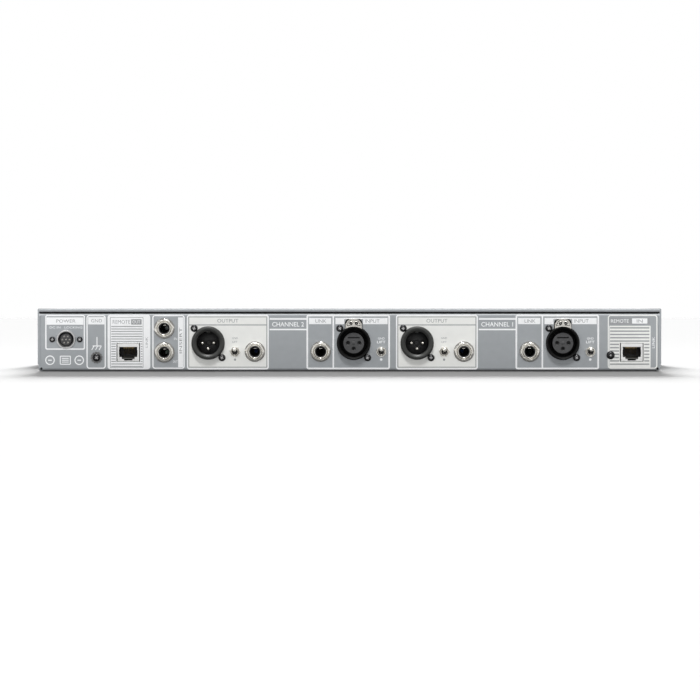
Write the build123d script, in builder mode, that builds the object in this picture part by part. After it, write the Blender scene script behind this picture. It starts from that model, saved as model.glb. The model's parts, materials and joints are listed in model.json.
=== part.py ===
"""A two-channel microphone preamp in a 1U rack case, connector side at -Y and control side at +Y."""

import os

from build123d import *

# ---------------------------------------------------------------- driving dimensions (mm)
BODY_WIDTH = 438.0
BODY_DEPTH = 197.0
SHEET = 1.2
TRAY_HEIGHT = 40.9
GASKET_HEIGHT = 1.3
COVER_THICKNESS = 1.7
FLANGE = 9.0
BEND_RADIUS, RIM_RADIUS = 2.4, 1.8
WINDOW_WIDTH, WINDOW_HEIGHT, WINDOW_Z = BODY_WIDTH - 28.0, 31.0, 21.0
RELIEF_INSET, RELIEF_Z, RELIEF_RADIUS, RELIEF_DEPTH = 1.9, 2.1, 0.8, 0.7
SEAM_WIDTH, SEAM_HEIGHT, SEAM_DEPTH = 0.3, 36.0, 0.5
TOP_HEIGHT = TRAY_HEIGHT + GASKET_HEIGHT + COVER_THICKNESS

RACK_WIDTH = 482.6
RACK_HEIGHT = 43.6
RACK_THICKNESS = 3.0
SLOT_SPACING_X = 465.1
SLOT_SPACING_Z = 31.75
SLOT_WIDTH = 7.0
SLOT_LENGTH = 10.3
RACK_MIDDLE = TOP_HEIGHT / 2

BOARD_BOTTOM = 5.4
BOARD_THICKNESS = 1.6
BOARD_TOP = BOARD_BOTTOM + BOARD_THICKNESS
BOARD_WIDTH = 424.0
BOARD_REAR = -94.0
BOARD_FRONT = 72.0

CHANNEL_PITCH = 147.3
XLR_OUT_X, XLR_IN_X, XLR_Z = -99.6, 3.0, 20.0
TOGGLE_OUT_X, TOGGLE_IN_X, TOGGLE_Z = -80.6, 22.4, 13.8
JACK_OUT_X, JACK_LINK_X, JACK_Z = -66.6, -20.3, 13.9
AUX_JACK_X, AUX_JACK_LOW_Z, AUX_JACK_HIGH_Z = -130.4, 13.4, 30.2
POWER_X, POWER_Z, POWER_SCREW_X, POWER_SCREW = -199.7, 22.5, 9.65, 1.1
GROUND_X, GROUND_Z, GROUND_SCREW, GROUND_WASHER, GROUND_WASHER_HEIGHT = -178.1, 9.8, 1.75, 4.2, 0.7
PORT_OUT_X, PORT_IN_X, PORT_BOTTOM = -155.8, 198.9, 7.0
PORT_SCREW_X, PORT_SCREW_Z, PORT_SCREW = 184.0, 11.4, 1.5
PORT_WIDTH, PORT_HEIGHT, PORT_DEPTH, PORT_SHIELD = 15.6, 12.9, 16.0, 0.3
PORT_CUTOUT_WIDTH, PORT_CUTOUT_HEIGHT = 16.6, 13.2
PORT_MIDDLE = PORT_BOTTOM + PORT_HEIGHT / 2 + 0.05
POWER_PROUD, POWER_DEPTH, POWER_RING, POWER_BORE, POWER_CORE = 1.0, 10.0, 6.7, 5.1, 3.9
CORE_SUNK, WELL_DEPTH, CONTACT_HOLE, CONTACT_CIRCLE, CONTACT_COUNT = 0.6, 4.0, 0.5, 2.5, 6

JACK_BORE = 3.25
JACK_BORE_LENGTH = 30.0
JACK_BUSHING = 4.8
JACK_PROUD = 3.1
JACK_WASHER, JACK_WASHER_HEIGHT = 7.2, 0.5
JACK_NUT_FLATS, JACK_NUT_HEIGHT = 12.7, 2.0
JACK_BODY_WIDTH, JACK_BODY_HEIGHT = 13.4, 12.6

XLR_PROUD = 2.0
XLR_OUT_RING, XLR_OUT_BORE, XLR_OUT_DEPTH = 11.5, 8.2, 14.0
XLR_IN_RING, XLR_IN_BORE, XLR_IN_DEPTH = 11.7, 9.75, 13.0
XLR_INSERT, INSERT_SUNK = 7.25, 0.6
XLR_BODY_LENGTH = 20.0
XLR_FLANGE_WIDTH, XLR_FLANGE_HEIGHT, XLR_FLANGE_THICKNESS = 26.0, 25.4, 2.2
XLR_PIN, XLR_PIN_CIRCLE, XLR_PIN_LENGTH = 1.2, 4.0, 11.0
XLR_SCREW_X, XLR_SCREW_Z = 9.8, 10.35
XLR_SCREW_HEAD, XLR_SCREW_DOME = 2.55, 1.7
XLR_SOCKET, XLR_SLOT_WIDTH, XLR_SLOT_HEIGHT, XLR_SLOT_RISE = 1.3, 8.4, 0.9, 3.8

LATCH_HALF, LATCH_LOW, LATCH_HIGH, LATCH_CORNER = 4.5, 12.4, 16.1, 1.6
LATCH_PROUD, LATCH_LENGTH, LATCH_CLEARANCE = 4.2, 13.0, 0.3
HOOD_HALF, HOOD_HIGH, HOOD_CORNER = 5.9, 17.0, 3.2

TOGGLE_BUSHING, TOGGLE_BORE, TOGGLE_PROUD = 2.5, 1.95, 4.0
TOGGLE_NUT_FLATS, TOGGLE_NUT_HEIGHT = 6.8, 1.6
TOGGLE_TILT, TOGGLE_PIVOT = 12.0, 1.0
TOGGLE_ROOT, TOGGLE_TIP, TOGGLE_LENGTH, TOGGLE_REACH = 0.85, 1.25, 9.0, 1.4
TOGGLE_BODY_WIDTH, TOGGLE_BODY_HEIGHT, TOGGLE_BODY_DEPTH = 8.6, 12.4, 10.0

# Holes and screws: thread radius, clearance and the shallow overcut that lets a hole break through cleanly.
M3, M3_CLEARANCE, THREAD, BREAK = 1.5, 1.7, 1.4, 1.0
BOARD_SCREW_HEAD, BOARD_SCREW_DOME, BOARD_SCREW_LENGTH = 2.8, 1.8, 5.0
STANDOFF_RADIUS, STANDOFF_BORE = 3.2, 1.3
CUTOUT_GAP, BUSHING_GAP = 0.3, 0.1
COVER_SCREW_HEAD, COVER_SCREW_LENGTH = 2.9, 6.0
PANEL_SCREW_HEAD, PANEL_SCREW_SUNK, PANEL_SCREW_KEY = 2.9, 1.8, 1.25

VENT_ROWS, VENT_GROUPS = (-62.0, -30.0), (-120.0, 120.0)
VENT_COUNT, VENT_PITCH, VENT_LENGTH, VENT_WIDTH = 18, 7.0, 22.0, 2.4

CAPACITOR_RADIUS, CAPACITOR_HEIGHT, CAPACITOR_ROWS = 6.3, 22.0, (-60.0, 90.0)
SINK_X, SINK_Y, SINK_WIDTH, SINK_DEPTH, SINK_HEIGHT, SINK_BASE = -125.0, 10.0, 34.0, 40.0, 24.0, 3.0
SINK_PITCH, SINK_GROOVE, SINK_GROOVES = 5.6, 3.2, 5
MODULE_X, MODULE_Y, MODULE_WIDTH, MODULE_DEPTH, MODULE_HEIGHT = -178.0, -20.0, 56.0, 46.0, 20.0
FRONT_BOARD_BACK, FRONT_BOARD_WIDTH, FRONT_BOARD_HEIGHT, FRONT_BOARD_Z = 80.0, 414.0, 31.0, 22.5
RIBBON_WIDTH, RIBBON_THICKNESS = 40.0, 1.0

CASE_MIDDLE_Z = 21.95
CHANNEL_FRONT = (-208.0, -44.0)
GAIN_OFFSET, LEVEL_OFFSET, INSTRUMENT_OFFSET = 44.0, 122.0, 12.0
PHANTOM_OFFSET, FILTER_OFFSET = 74.0, 94.0
METER_OFFSET, METER_WIDTH, METER_HEIGHT = 148.0, 11.0, 30.0
PHONES_X, PHONES_JACK_X, POWER_BUTTON_X = 140.0, 167.0, 197.0
GAIN_KNOB, LEVEL_KNOB, KNOB_HEIGHT, KNOB_GAP = 13.0, 10.5, 14.0, 0.6
SHAFT, SHAFT_CLEARANCE = 3.0, 0.05
BUTTON_HALF, BUTTON_CLEARANCE, BUTTON_PROUD = 4.0, 0.3, 3.5
POWER_BUTTON = 6.0

REAR = Plane.XZ.offset(BODY_DEPTH / 2)
INNER_REAR = REAR.offset(-SHEET)
FRONT = Plane(origin=(0, BODY_DEPTH / 2, 0), x_dir=(-1, 0, 0), z_dir=(0, 1, 0))
FRONT_FACE = FRONT.offset(RACK_THICKNESS)
CHANNELS = (("2", 0.0), ("1", CHANNEL_PITCH))
FRONT_CHANNELS = (("1", CHANNEL_FRONT[0]), ("2", CHANNEL_FRONT[1]))

xlr_out_places = [(XLR_OUT_X + shift, XLR_Z) for _, shift in CHANNELS]
xlr_in_places = [(XLR_IN_X + shift, XLR_Z) for _, shift in CHANNELS]
toggle_places = {}
jack_places = {"upper_jack": (AUX_JACK_X, AUX_JACK_HIGH_Z), "lower_jack": (AUX_JACK_X, AUX_JACK_LOW_Z)}
for channel, shift in CHANNELS:
    toggle_places["output_toggle_" + channel] = (TOGGLE_OUT_X + shift, TOGGLE_Z)
    toggle_places["input_toggle_" + channel] = (TOGGLE_IN_X + shift, TOGGLE_Z)
    jack_places["output_jack_" + channel] = (JACK_OUT_X + shift, JACK_Z)
    jack_places["link_jack_" + channel] = (JACK_LINK_X + shift, JACK_Z)

gain_places = [(start + GAIN_OFFSET, CASE_MIDDLE_Z) for start in CHANNEL_FRONT]
level_places = [(start + LEVEL_OFFSET, CASE_MIDDLE_Z) for start in CHANNEL_FRONT]
knob_places = {
    "gain_knob_1": (gain_places[0], GAIN_KNOB),
    "gain_knob_2": (gain_places[1], GAIN_KNOB),
    "level_knob_1": (level_places[0], LEVEL_KNOB),
    "level_knob_2": (level_places[1], LEVEL_KNOB),
    "phones_knob": ((PHONES_X, CASE_MIDDLE_Z), LEVEL_KNOB),
}
button_places = {}
for channel, start in FRONT_CHANNELS:
    button_places["phantom_button_" + channel] = (start + PHANTOM_OFFSET, CASE_MIDDLE_Z)
    button_places["filter_button_" + channel] = (start + FILTER_OFFSET, CASE_MIDDLE_Z)
meter_places = [(start + METER_OFFSET, CASE_MIDDLE_Z) for start in CHANNEL_FRONT]
front_jack_places = [(start + INSTRUMENT_OFFSET, CASE_MIDDLE_Z) for start in CHANNEL_FRONT]
front_jack_places.append((PHONES_JACK_X, CASE_MIDDLE_Z))
xlr_screw_places = [
    (x + side * XLR_SCREW_X, z - side * XLR_SCREW_Z)
    for x, z in xlr_out_places + xlr_in_places
    for side in (-1, 1)
]
socket_place = [(POWER_X, POWER_Z)]
power_screw_places = [(POWER_X + side * POWER_SCREW_X, POWER_Z) for side in (-1, 1)]
power_button_place = [(POWER_BUTTON_X, CASE_MIDDLE_Z)]
cover_screw_places = [(x, y) for x in (-214.5, 214.5) for y in (-70.0, 0.0, 70.0)]
cover_screw_places += [(x, y) for x in (-110.0, 110.0) for y in (-94.0, 94.0)]
panel_screw_places = [(x, z) for x in (-212.0, 212.0) for z in (9.0, 34.9)]
standoff_places = [(x, y) for x in (-206.0, -60.0, 60.0, 206.0) for y in (-60.0, 60.0)]


def save(builder, name):
    """Name a finished piece and write it out as its own node."""
    builder.part.label = name
    export_step(builder.part, f"parts/{name}.step")


def round_feature(plane, places, radius, length, mode=Mode.ADD):
    """Round bosses or holes standing on a plane, running length along its normal."""
    with BuildSketch(plane) as profile:
        with Locations(*places):
            Circle(radius)
    extrude(profile.sketch, amount=length, mode=mode)


def box_feature(plane, places, width, height, length, mode=Mode.ADD):
    """Rectangular bosses or holes standing on a plane, running length along its normal."""
    with BuildSketch(plane) as profile:
        with Locations(*places):
            Rectangle(width, height)
    extrude(profile.sketch, amount=length, mode=mode)


def rounded_feature(plane, places, width, height, radius, length, mode=Mode.ADD):
    """Like box_feature, with rounded corners."""
    with BuildSketch(plane) as profile:
        with Locations(*places):
            RectangleRounded(width, height, radius)
    extrude(profile.sketch, amount=length, mode=mode)


def port_profile(x):
    """The stepped mouth of a modular network port, keyway down."""
    with Locations((x, PORT_BOTTOM + 6.7)):
        Rectangle(12.2, 7.2)
    with Locations((x, PORT_BOTTOM + 2.4)):
        Rectangle(7.7, 1.6)
    with Locations((x, PORT_BOTTOM + 1.2)):
        Rectangle(4.8, 1.0)


def rear_openings():
    """Every hole through the rear wall, cut from just outside it to just inside it."""
    cut = -2 * SHEET
    start = REAR.offset(SHEET / 2)
    round_feature(start, xlr_out_places, XLR_OUT_RING + CUTOUT_GAP, cut, Mode.SUBTRACT)
    round_feature(start, xlr_in_places, XLR_IN_RING + CUTOUT_GAP, cut, Mode.SUBTRACT)
    hood_places = [(x, z + HOOD_HIGH / 2) for x, z in xlr_in_places]
    hood_hole = (2 * (HOOD_HALF + CUTOUT_GAP), HOOD_HIGH + 2 * CUTOUT_GAP, HOOD_CORNER + CUTOUT_GAP)
    rounded_feature(start, hood_places, *hood_hole, cut, Mode.SUBTRACT)
    round_feature(start, xlr_screw_places, M3_CLEARANCE, cut, Mode.SUBTRACT)
    round_feature(start, jack_places.values(), JACK_BUSHING + BUSHING_GAP, cut, Mode.SUBTRACT)
    round_feature(start, toggle_places.values(), TOGGLE_BUSHING + BUSHING_GAP, cut, Mode.SUBTRACT)
    round_feature(start, socket_place, POWER_RING + BUSHING_GAP, cut, Mode.SUBTRACT)
    round_feature(start, power_screw_places, POWER_SCREW + CUTOUT_GAP, cut, Mode.SUBTRACT)
    round_feature(start, [(GROUND_X, GROUND_Z)], GROUND_SCREW + 0.05, cut, Mode.SUBTRACT)
    round_feature(start, [(PORT_SCREW_X, PORT_SCREW_Z)], PORT_SCREW + BUSHING_GAP, cut, Mode.SUBTRACT)
    ports = [(x, PORT_MIDDLE) for x in (PORT_OUT_X, PORT_IN_X)]
    box_feature(start, ports, PORT_CUTOUT_WIDTH, PORT_CUTOUT_HEIGHT, cut, Mode.SUBTRACT)


os.makedirs("parts", exist_ok=True)

# ---------------------------------------------------------------- case
# One bent sheet: floor, two sides, rear wall, a front frame and an inward rim that carries the cover.
with BuildPart() as chassis_tray:
    with BuildSketch():
        Rectangle(BODY_WIDTH, BODY_DEPTH)
    extrude(amount=TRAY_HEIGHT)
    fillet(chassis_tray.faces().sort_by(Axis.Z)[0].edges(), BEND_RADIUS)
    fillet(chassis_tray.faces().sort_by(Axis.Z)[-1].edges(), RIM_RADIUS)
    with BuildSketch(Plane.XY.offset(SHEET)):
        Rectangle(BODY_WIDTH - 2 * SHEET, BODY_DEPTH - 2 * SHEET)
    extrude(amount=TRAY_HEIGHT - 2 * SHEET, mode=Mode.SUBTRACT)
    with BuildSketch(Plane.XY.offset(TRAY_HEIGHT - 2 * SHEET)):
        RectangleRounded(BODY_WIDTH - 2 * FLANGE, BODY_DEPTH - 2 * FLANGE, 2)
    extrude(amount=4 * SHEET, mode=Mode.SUBTRACT)
    rear_openings()
    # Front frame: one wide window for the controls.
    through = -3 * SHEET
    box_feature(FRONT.offset(SHEET), [(0, WINDOW_Z)], WINDOW_WIDTH, WINDOW_HEIGHT, through, Mode.SUBTRACT)
    round_feature(FRONT.offset(SHEET), panel_screw_places, M3, through, Mode.SUBTRACT)
    # Bend reliefs and side seams at the rear corners.
    corners = [(side * (BODY_WIDTH / 2 - RELIEF_INSET), RELIEF_Z) for side in (-1, 1)]
    round_feature(REAR.offset(BREAK), corners, RELIEF_RADIUS, -BREAK - RELIEF_DEPTH, Mode.SUBTRACT)
    seams = [(side * (BODY_WIDTH / 2 - SHEET), WINDOW_Z) for side in (-1, 1)]
    box_feature(REAR.offset(BREAK), seams, SEAM_WIDTH, SEAM_HEIGHT, -BREAK - SEAM_DEPTH, Mode.SUBTRACT)
    # Cover screw threads in the rim.
    with BuildSketch(Plane.XY.offset(TRAY_HEIGHT + BREAK)):
        with Locations(*cover_screw_places):
            Circle(M3)
    extrude(amount=through, mode=Mode.SUBTRACT)
save(chassis_tray, "chassis_tray")

# A dark foam strip sits on the rim, under the cover.
with BuildPart() as cover_gasket:
    with BuildSketch(Plane.XY.offset(TRAY_HEIGHT)):
        Rectangle(BODY_WIDTH - 0.8, BODY_DEPTH - 0.8)
        Rectangle(BODY_WIDTH - 2 * FLANGE, BODY_DEPTH - 2 * FLANGE, mode=Mode.SUBTRACT)
        with Locations(*cover_screw_places):
            Circle(M3_CLEARANCE, mode=Mode.SUBTRACT)
    extrude(amount=GASKET_HEIGHT)
save(cover_gasket, "cover_gasket")

with BuildPart() as top_cover:
    with BuildSketch(Plane.XY.offset(TRAY_HEIGHT + GASKET_HEIGHT)):
        Rectangle(BODY_WIDTH, BODY_DEPTH)
        for row in VENT_ROWS:
            for group in VENT_GROUPS:
                with Locations((group, row)):
                    with GridLocations(VENT_PITCH, 1, VENT_COUNT, 1):
                        SlotOverall(VENT_LENGTH, VENT_WIDTH, rotation=90, mode=Mode.SUBTRACT)
    extrude(amount=COVER_THICKNESS)
    fillet(top_cover.faces().sort_by(Axis.Z)[-1].outer_wire().edges(), 0.5)
    with Locations(*[(x, y, TOP_HEIGHT) for x, y in cover_screw_places]):
        CounterSinkHole(radius=M3_CLEARANCE - 0.1, counter_sink_radius=COVER_SCREW_HEAD + 0.1, depth=4)
save(top_cover, "top_cover")

CROSS_SPAN, CROSS_WIDTH, CROSS_DEPTH = 2.6, 0.7, 0.7
hanging = (Align.CENTER, Align.CENTER, Align.MAX)
with BuildPart() as cover_screws:
    with Locations(*[(x, y, TOP_HEIGHT - 0.05) for x, y in cover_screw_places]):
        Cone(M3, COVER_SCREW_HEAD, COVER_SCREW_HEAD - M3, align=hanging)
        Cylinder(M3, COVER_SCREW_LENGTH, align=hanging)
        Box(CROSS_SPAN, CROSS_WIDTH, CROSS_DEPTH, align=hanging, mode=Mode.SUBTRACT)
        Box(CROSS_WIDTH, CROSS_SPAN, CROSS_DEPTH, align=hanging, mode=Mode.SUBTRACT)
save(cover_screws, "cover_screws")

# ---------------------------------------------------------------- front panel
with BuildPart() as front_panel:
    box_feature(FRONT, [(0, RACK_MIDDLE)], RACK_WIDTH, RACK_HEIGHT, RACK_THICKNESS)
    fillet(front_panel.edges().filter_by(Axis.Y), 1.0)
    chamfer(front_panel.faces().sort_by(Axis.Y)[-1].edges(), 0.4)
    with BuildSketch(FRONT.offset(-BREAK)):
        with Locations((0, RACK_MIDDLE)):
            with GridLocations(SLOT_SPACING_X, SLOT_SPACING_Z, 2, 2):
                SlotOverall(SLOT_LENGTH, SLOT_WIDTH)
    extrude(amount=RACK_THICKNESS + 2 * BREAK, mode=Mode.SUBTRACT)
    start, cut = FRONT.offset(-BREAK), RACK_THICKNESS + 2 * BREAK
    round_feature(start, panel_screw_places, M3_CLEARANCE, cut, Mode.SUBTRACT)
    sunk = FRONT_FACE.offset(-PANEL_SCREW_SUNK)
    round_feature(sunk, panel_screw_places, PANEL_SCREW_HEAD + 0.1, PANEL_SCREW_SUNK + BREAK, Mode.SUBTRACT)
    shafts = [place for place, _ in knob_places.values()]
    round_feature(start, shafts, SHAFT + 0.5, cut, Mode.SUBTRACT)
    hole = 2 * (BUTTON_HALF + BUTTON_CLEARANCE)
    box_feature(start, button_places.values(), hole, hole, cut, Mode.SUBTRACT)
    round_feature(start, power_button_place, POWER_BUTTON + BUTTON_CLEARANCE, cut, Mode.SUBTRACT)
    box_feature(start, meter_places, METER_WIDTH, METER_HEIGHT, cut, Mode.SUBTRACT)
    round_feature(start, front_jack_places, JACK_BUSHING + BUSHING_GAP, cut, Mode.SUBTRACT)
save(front_panel, "front_panel")

with BuildPart() as panel_screws:
    round_feature(sunk, panel_screw_places, PANEL_SCREW_HEAD, PANEL_SCREW_SUNK - 0.2)
    round_feature(sunk, panel_screw_places, M3, -5.0)
    with BuildSketch(FRONT_FACE):
        with Locations(*panel_screw_places):
            RegularPolygon(PANEL_SCREW_KEY, 6)
    extrude(amount=0.5 - PANEL_SCREW_SUNK, mode=Mode.SUBTRACT)
save(panel_screws, "panel_screws")

# Dark windows over the level meters, held in their cut-outs by a lip behind the panel.
with BuildPart() as meter_windows:
    box_feature(FRONT.offset(0.6), meter_places, METER_WIDTH - 0.2, METER_HEIGHT - 0.2, 2.2)
    box_feature(FRONT.offset(-1.4), meter_places, METER_WIDTH - 1, METER_HEIGHT - 1, 2.0)
save(meter_windows, "meter_windows")

# ---------------------------------------------------------------- boards and what they carry
with BuildPart() as main_board:
    with BuildSketch(Plane.XY.offset(BOARD_BOTTOM)):
        with Locations((0, (BOARD_REAR + BOARD_FRONT) / 2)):
            Rectangle(BOARD_WIDTH, BOARD_FRONT - BOARD_REAR)
        with Locations(*standoff_places):
            Circle(M3_CLEARANCE, mode=Mode.SUBTRACT)
    extrude(amount=BOARD_THICKNESS)
save(main_board, "main_board")

with BuildPart() as board_standoffs:
    with BuildSketch(Plane.XY.offset(SHEET)):
        with Locations(*standoff_places):
            RegularPolygon(STANDOFF_RADIUS, 6)
            Circle(STANDOFF_BORE, mode=Mode.SUBTRACT)
    extrude(amount=BOARD_BOTTOM - SHEET)
save(board_standoffs, "board_standoffs")

with BuildPart() as board_screws:
    with BuildSketch(Plane.XY.offset(BOARD_TOP)) as heads:
        with Locations(*standoff_places):
            Circle(BOARD_SCREW_HEAD)
    extrude(heads.sketch, amount=BOARD_SCREW_DOME)
    with BuildSketch(Plane.XY.offset(BOARD_TOP)) as threads:
        with Locations(*standoff_places):
            Circle(STANDOFF_BORE)
    extrude(threads.sketch, amount=-BOARD_SCREW_LENGTH)
save(board_screws, "board_screws")

with BuildPart() as capacitors:
    with BuildSketch(Plane.XY.offset(BOARD_TOP)):
        for middle in CAPACITOR_ROWS:
            with Locations((middle, 10)):
                with GridLocations(20, 24, 4, 2):
                    Circle(CAPACITOR_RADIUS)
    extrude(amount=CAPACITOR_HEIGHT)
    fillet(capacitors.faces().sort_by(Axis.Z)[-8:].edges(), 0.8)
save(capacitors, "capacitors")

# A finned block for the regulators: grooves cut into a block, then a plain base.
with BuildPart() as heat_sink:
    with BuildSketch(Plane.XY.offset(BOARD_TOP)) as fins:
        with Locations((SINK_X, SINK_Y)):
            Rectangle(SINK_WIDTH, SINK_DEPTH)
            with GridLocations(SINK_PITCH, 1, SINK_GROOVES, 1):
                Rectangle(SINK_GROOVE, SINK_DEPTH - 6, mode=Mode.SUBTRACT)
    extrude(fins.sketch, amount=SINK_HEIGHT)
    with BuildSketch(Plane.XY.offset(BOARD_TOP)) as base:
        with Locations((SINK_X, SINK_Y)):
            Rectangle(SINK_WIDTH, SINK_DEPTH)
    extrude(base.sketch, amount=SINK_BASE)
save(heat_sink, "heat_sink")

with BuildPart() as power_module:
    with BuildSketch(Plane.XY.offset(BOARD_TOP)):
        with Locations((MODULE_X, MODULE_Y)):
            Rectangle(MODULE_WIDTH, MODULE_DEPTH)
    extrude(amount=MODULE_HEIGHT)
    fillet(power_module.edges().filter_by(Axis.Z), 1.5)
    fillet(power_module.faces().sort_by(Axis.Z)[-1].edges(), 1.0)
save(power_module, "power_module")

with BuildPart() as front_board:
    with BuildSketch(Plane.XZ.offset(-FRONT_BOARD_BACK)):
        with Locations((0, FRONT_BOARD_Z)):
            Rectangle(FRONT_BOARD_WIDTH, FRONT_BOARD_HEIGHT)
    extrude(amount=-BOARD_THICKNESS)
save(front_board, "front_board")
FRONT_BOARD_FACE = FRONT.offset(FRONT_BOARD_BACK + BOARD_THICKNESS - BODY_DEPTH / 2)

# The flat cable lies on the main board and turns up to the front board.
RIBBON_START, RIBBON_TURN, RIBBON_RISE, RIBBON_TOP = 48.0, 71.0, 14.0, 24.0
low, high = BOARD_TOP + 0.1, BOARD_TOP + 0.1 + RIBBON_THICKNESS
outer, inner = FRONT_BOARD_BACK - 0.1, FRONT_BOARD_BACK - 0.1 - RIBBON_THICKNESS
with BuildPart() as ribbon_cable:
    with BuildSketch(Plane.YZ.offset(-RIBBON_WIDTH / 2)):
        with BuildLine():
            Polyline((RIBBON_START, low), (RIBBON_TURN, low), (outer, RIBBON_RISE), (outer, RIBBON_TOP))
            Polyline((outer, RIBBON_TOP), (inner, RIBBON_TOP), (inner, RIBBON_RISE + 0.4))
            Polyline((inner, RIBBON_RISE + 0.4), (RIBBON_TURN - 0.4, high), (RIBBON_START, high))
            Line((RIBBON_START, high), (RIBBON_START, low))
        make_face()
    extrude(amount=RIBBON_WIDTH)
save(ribbon_cable, "ribbon_cable")

# Potentiometer and switch bodies stand on the front board, open where shafts and stems enter.
POT_RADIUS, POT_DEPTH, SWITCH_SIDE, POWER_SWITCH_SIDE, SWITCH_DEPTH = 8.0, 9.0, 10.0, 12.0, 7.0
STEM_HOLE, STEM, METER_DEPTH = 4.0, 3.4, 14.5
with BuildPart() as control_bodies:
    floor = FRONT_BOARD_FACE.offset(1.0)
    round_feature(FRONT_BOARD_FACE, shafts, POT_RADIUS, POT_DEPTH)
    round_feature(floor, shafts, SHAFT + SHAFT_CLEARANCE, POT_DEPTH, Mode.SUBTRACT)
    box_feature(FRONT_BOARD_FACE, button_places.values(), SWITCH_SIDE, SWITCH_SIDE, SWITCH_DEPTH)
    box_feature(FRONT_BOARD_FACE, power_button_place, POWER_SWITCH_SIDE, POWER_SWITCH_SIDE, SWITCH_DEPTH)
    stems = list(button_places.values()) + power_button_place
    box_feature(floor, stems, STEM_HOLE, STEM_HOLE, SWITCH_DEPTH, Mode.SUBTRACT)
    box_feature(FRONT_BOARD_FACE, meter_places, METER_WIDTH - 1, METER_HEIGHT - 2, METER_DEPTH)
save(control_bodies, "control_bodies")

# ---------------------------------------------------------------- controls
SKIRT_HEIGHT, SKIRT_STEP, SHAFT_LENGTH = 2.0, 1.5, 12.0
POINTER_WIDTH, POINTER_DEPTH = 1.2, 0.6
for name, (place, radius) in knob_places.items():
    with BuildPart() as knob:
        base = FRONT_FACE.offset(KNOB_GAP)
        round_feature(base, [place], radius, SKIRT_HEIGHT)
        with BuildSketch(base.offset(SKIRT_HEIGHT)):
            with Locations(place):
                Circle(radius - SKIRT_STEP)
        extrude(amount=KNOB_HEIGHT - SKIRT_HEIGHT, taper=3)
        fillet(knob.faces().sort_by(Axis.Y)[-1].edges(), 1.2)
        with BuildSketch(base.offset(KNOB_HEIGHT)):
            with Locations((place[0], place[1] + radius / 2 - 0.5)):
                Rectangle(POINTER_WIDTH, radius - 4)
        extrude(amount=-POINTER_DEPTH, mode=Mode.SUBTRACT)
        round_feature(base, [place], SHAFT, -(RACK_THICKNESS + KNOB_GAP + SHAFT_LENGTH))
    save(knob, name)

CAP_DEPTH, STEM_LENGTH = 5.0, 8.0
for name, place in button_places.items():
    with BuildPart() as button:
        side = 2 * BUTTON_HALF
        box_feature(FRONT_FACE.offset(BUTTON_PROUD), [place], side, side, -BUTTON_PROUD - CAP_DEPTH)
        fillet(button.edges().filter_by(Axis.Y), 0.6)
        fillet(button.faces().sort_by(Axis.Y)[-1].edges(), 0.5)
        box_feature(FRONT_FACE.offset(-CAP_DEPTH), [place], STEM, STEM, -STEM_LENGTH)
    save(button, name)

with BuildPart() as power_button:
    length = -BUTTON_PROUD - CAP_DEPTH
    round_feature(FRONT_FACE.offset(BUTTON_PROUD), power_button_place, POWER_BUTTON, length)
    fillet(power_button.faces().sort_by(Axis.Y)[-1].edges(), 0.8)
    box_feature(FRONT_FACE.offset(-CAP_DEPTH), power_button_place, STEM, STEM, -STEM_LENGTH)
save(power_button, "power_button")


# ---------------------------------------------------------------- quarter-inch jacks
def jack_solid(outer, wall, places, bore_length, length):
    """Threaded bushings and their housings behind a wall, each with one long bore for the plug."""
    round_feature(outer.offset(JACK_PROUD), places, JACK_BUSHING, -(JACK_PROUD + wall))
    box_feature(outer.offset(-wall), places, JACK_BODY_WIDTH, JACK_BODY_HEIGHT, -length)
    round_feature(outer.offset(JACK_PROUD), places, JACK_BORE, -bore_length, Mode.SUBTRACT)


for name, place in jack_places.items():
    with BuildPart() as jack:
        length = JACK_BORE_LENGTH + 2.0 - JACK_PROUD - SHEET
        jack_solid(REAR, SHEET, [place], JACK_BORE_LENGTH, length)
        chamfer(jack.faces().sort_by(Axis.Y)[0].outer_wire().edges(), 0.3)
    save(jack, name)

# Front jacks: two instrument inputs and one for headphones, shorter bodies ahead of the front board.
FRONT_JACK_BORE_LENGTH, FRONT_JACK_LENGTH = 21.0, 15.4
with BuildPart() as front_jacks:
    wall = RACK_THICKNESS + SHEET
    jack_solid(FRONT_FACE, wall, front_jack_places, FRONT_JACK_BORE_LENGTH, FRONT_JACK_LENGTH)
save(front_jacks, "front_jacks")

# One nut with a washer face on every jack, front and rear.
with BuildPart() as jack_nuts:
    for face, places in ((REAR, list(jack_places.values())), (FRONT_FACE, front_jack_places)):
        round_feature(face, places, JACK_WASHER, JACK_WASHER_HEIGHT)
        with BuildSketch(face.offset(JACK_WASHER_HEIGHT)):
            with Locations(*places):
                RegularPolygon(JACK_NUT_FLATS / 2, 6, major_radius=False)
        extrude(amount=JACK_NUT_HEIGHT)
        round_feature(face, places, JACK_BUSHING, JACK_PROUD + BREAK, Mode.SUBTRACT)
save(jack_nuts, "jack_nuts")


# ---------------------------------------------------------------- three-pin connectors
def xlr_places(place, radius):
    """Three contacts on a circle: left, right and bottom."""
    x, z = place
    return [(x - radius, z), (x + radius, z), (x, z - radius)]


def xlr_barrel(place, ring):
    """The round barrel through the wall and the square flange behind it."""
    round_feature(REAR.offset(XLR_PROUD), [place], ring, -(XLR_PROUD + XLR_BODY_LENGTH))
    box_feature(INNER_REAR, [place], XLR_FLANGE_WIDTH, XLR_FLANGE_HEIGHT, -XLR_FLANGE_THICKNESS)


def xlr_screw_threads(place):
    """Two diagonal screw holes in the flange."""
    x, z = place
    threads = [(x - XLR_SCREW_X, z + XLR_SCREW_Z), (x + XLR_SCREW_X, z - XLR_SCREW_Z)]
    depth = XLR_FLANGE_THICKNESS + 2 * BREAK
    round_feature(INNER_REAR.offset(BREAK), threads, THREAD, -depth, Mode.SUBTRACT)


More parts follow.
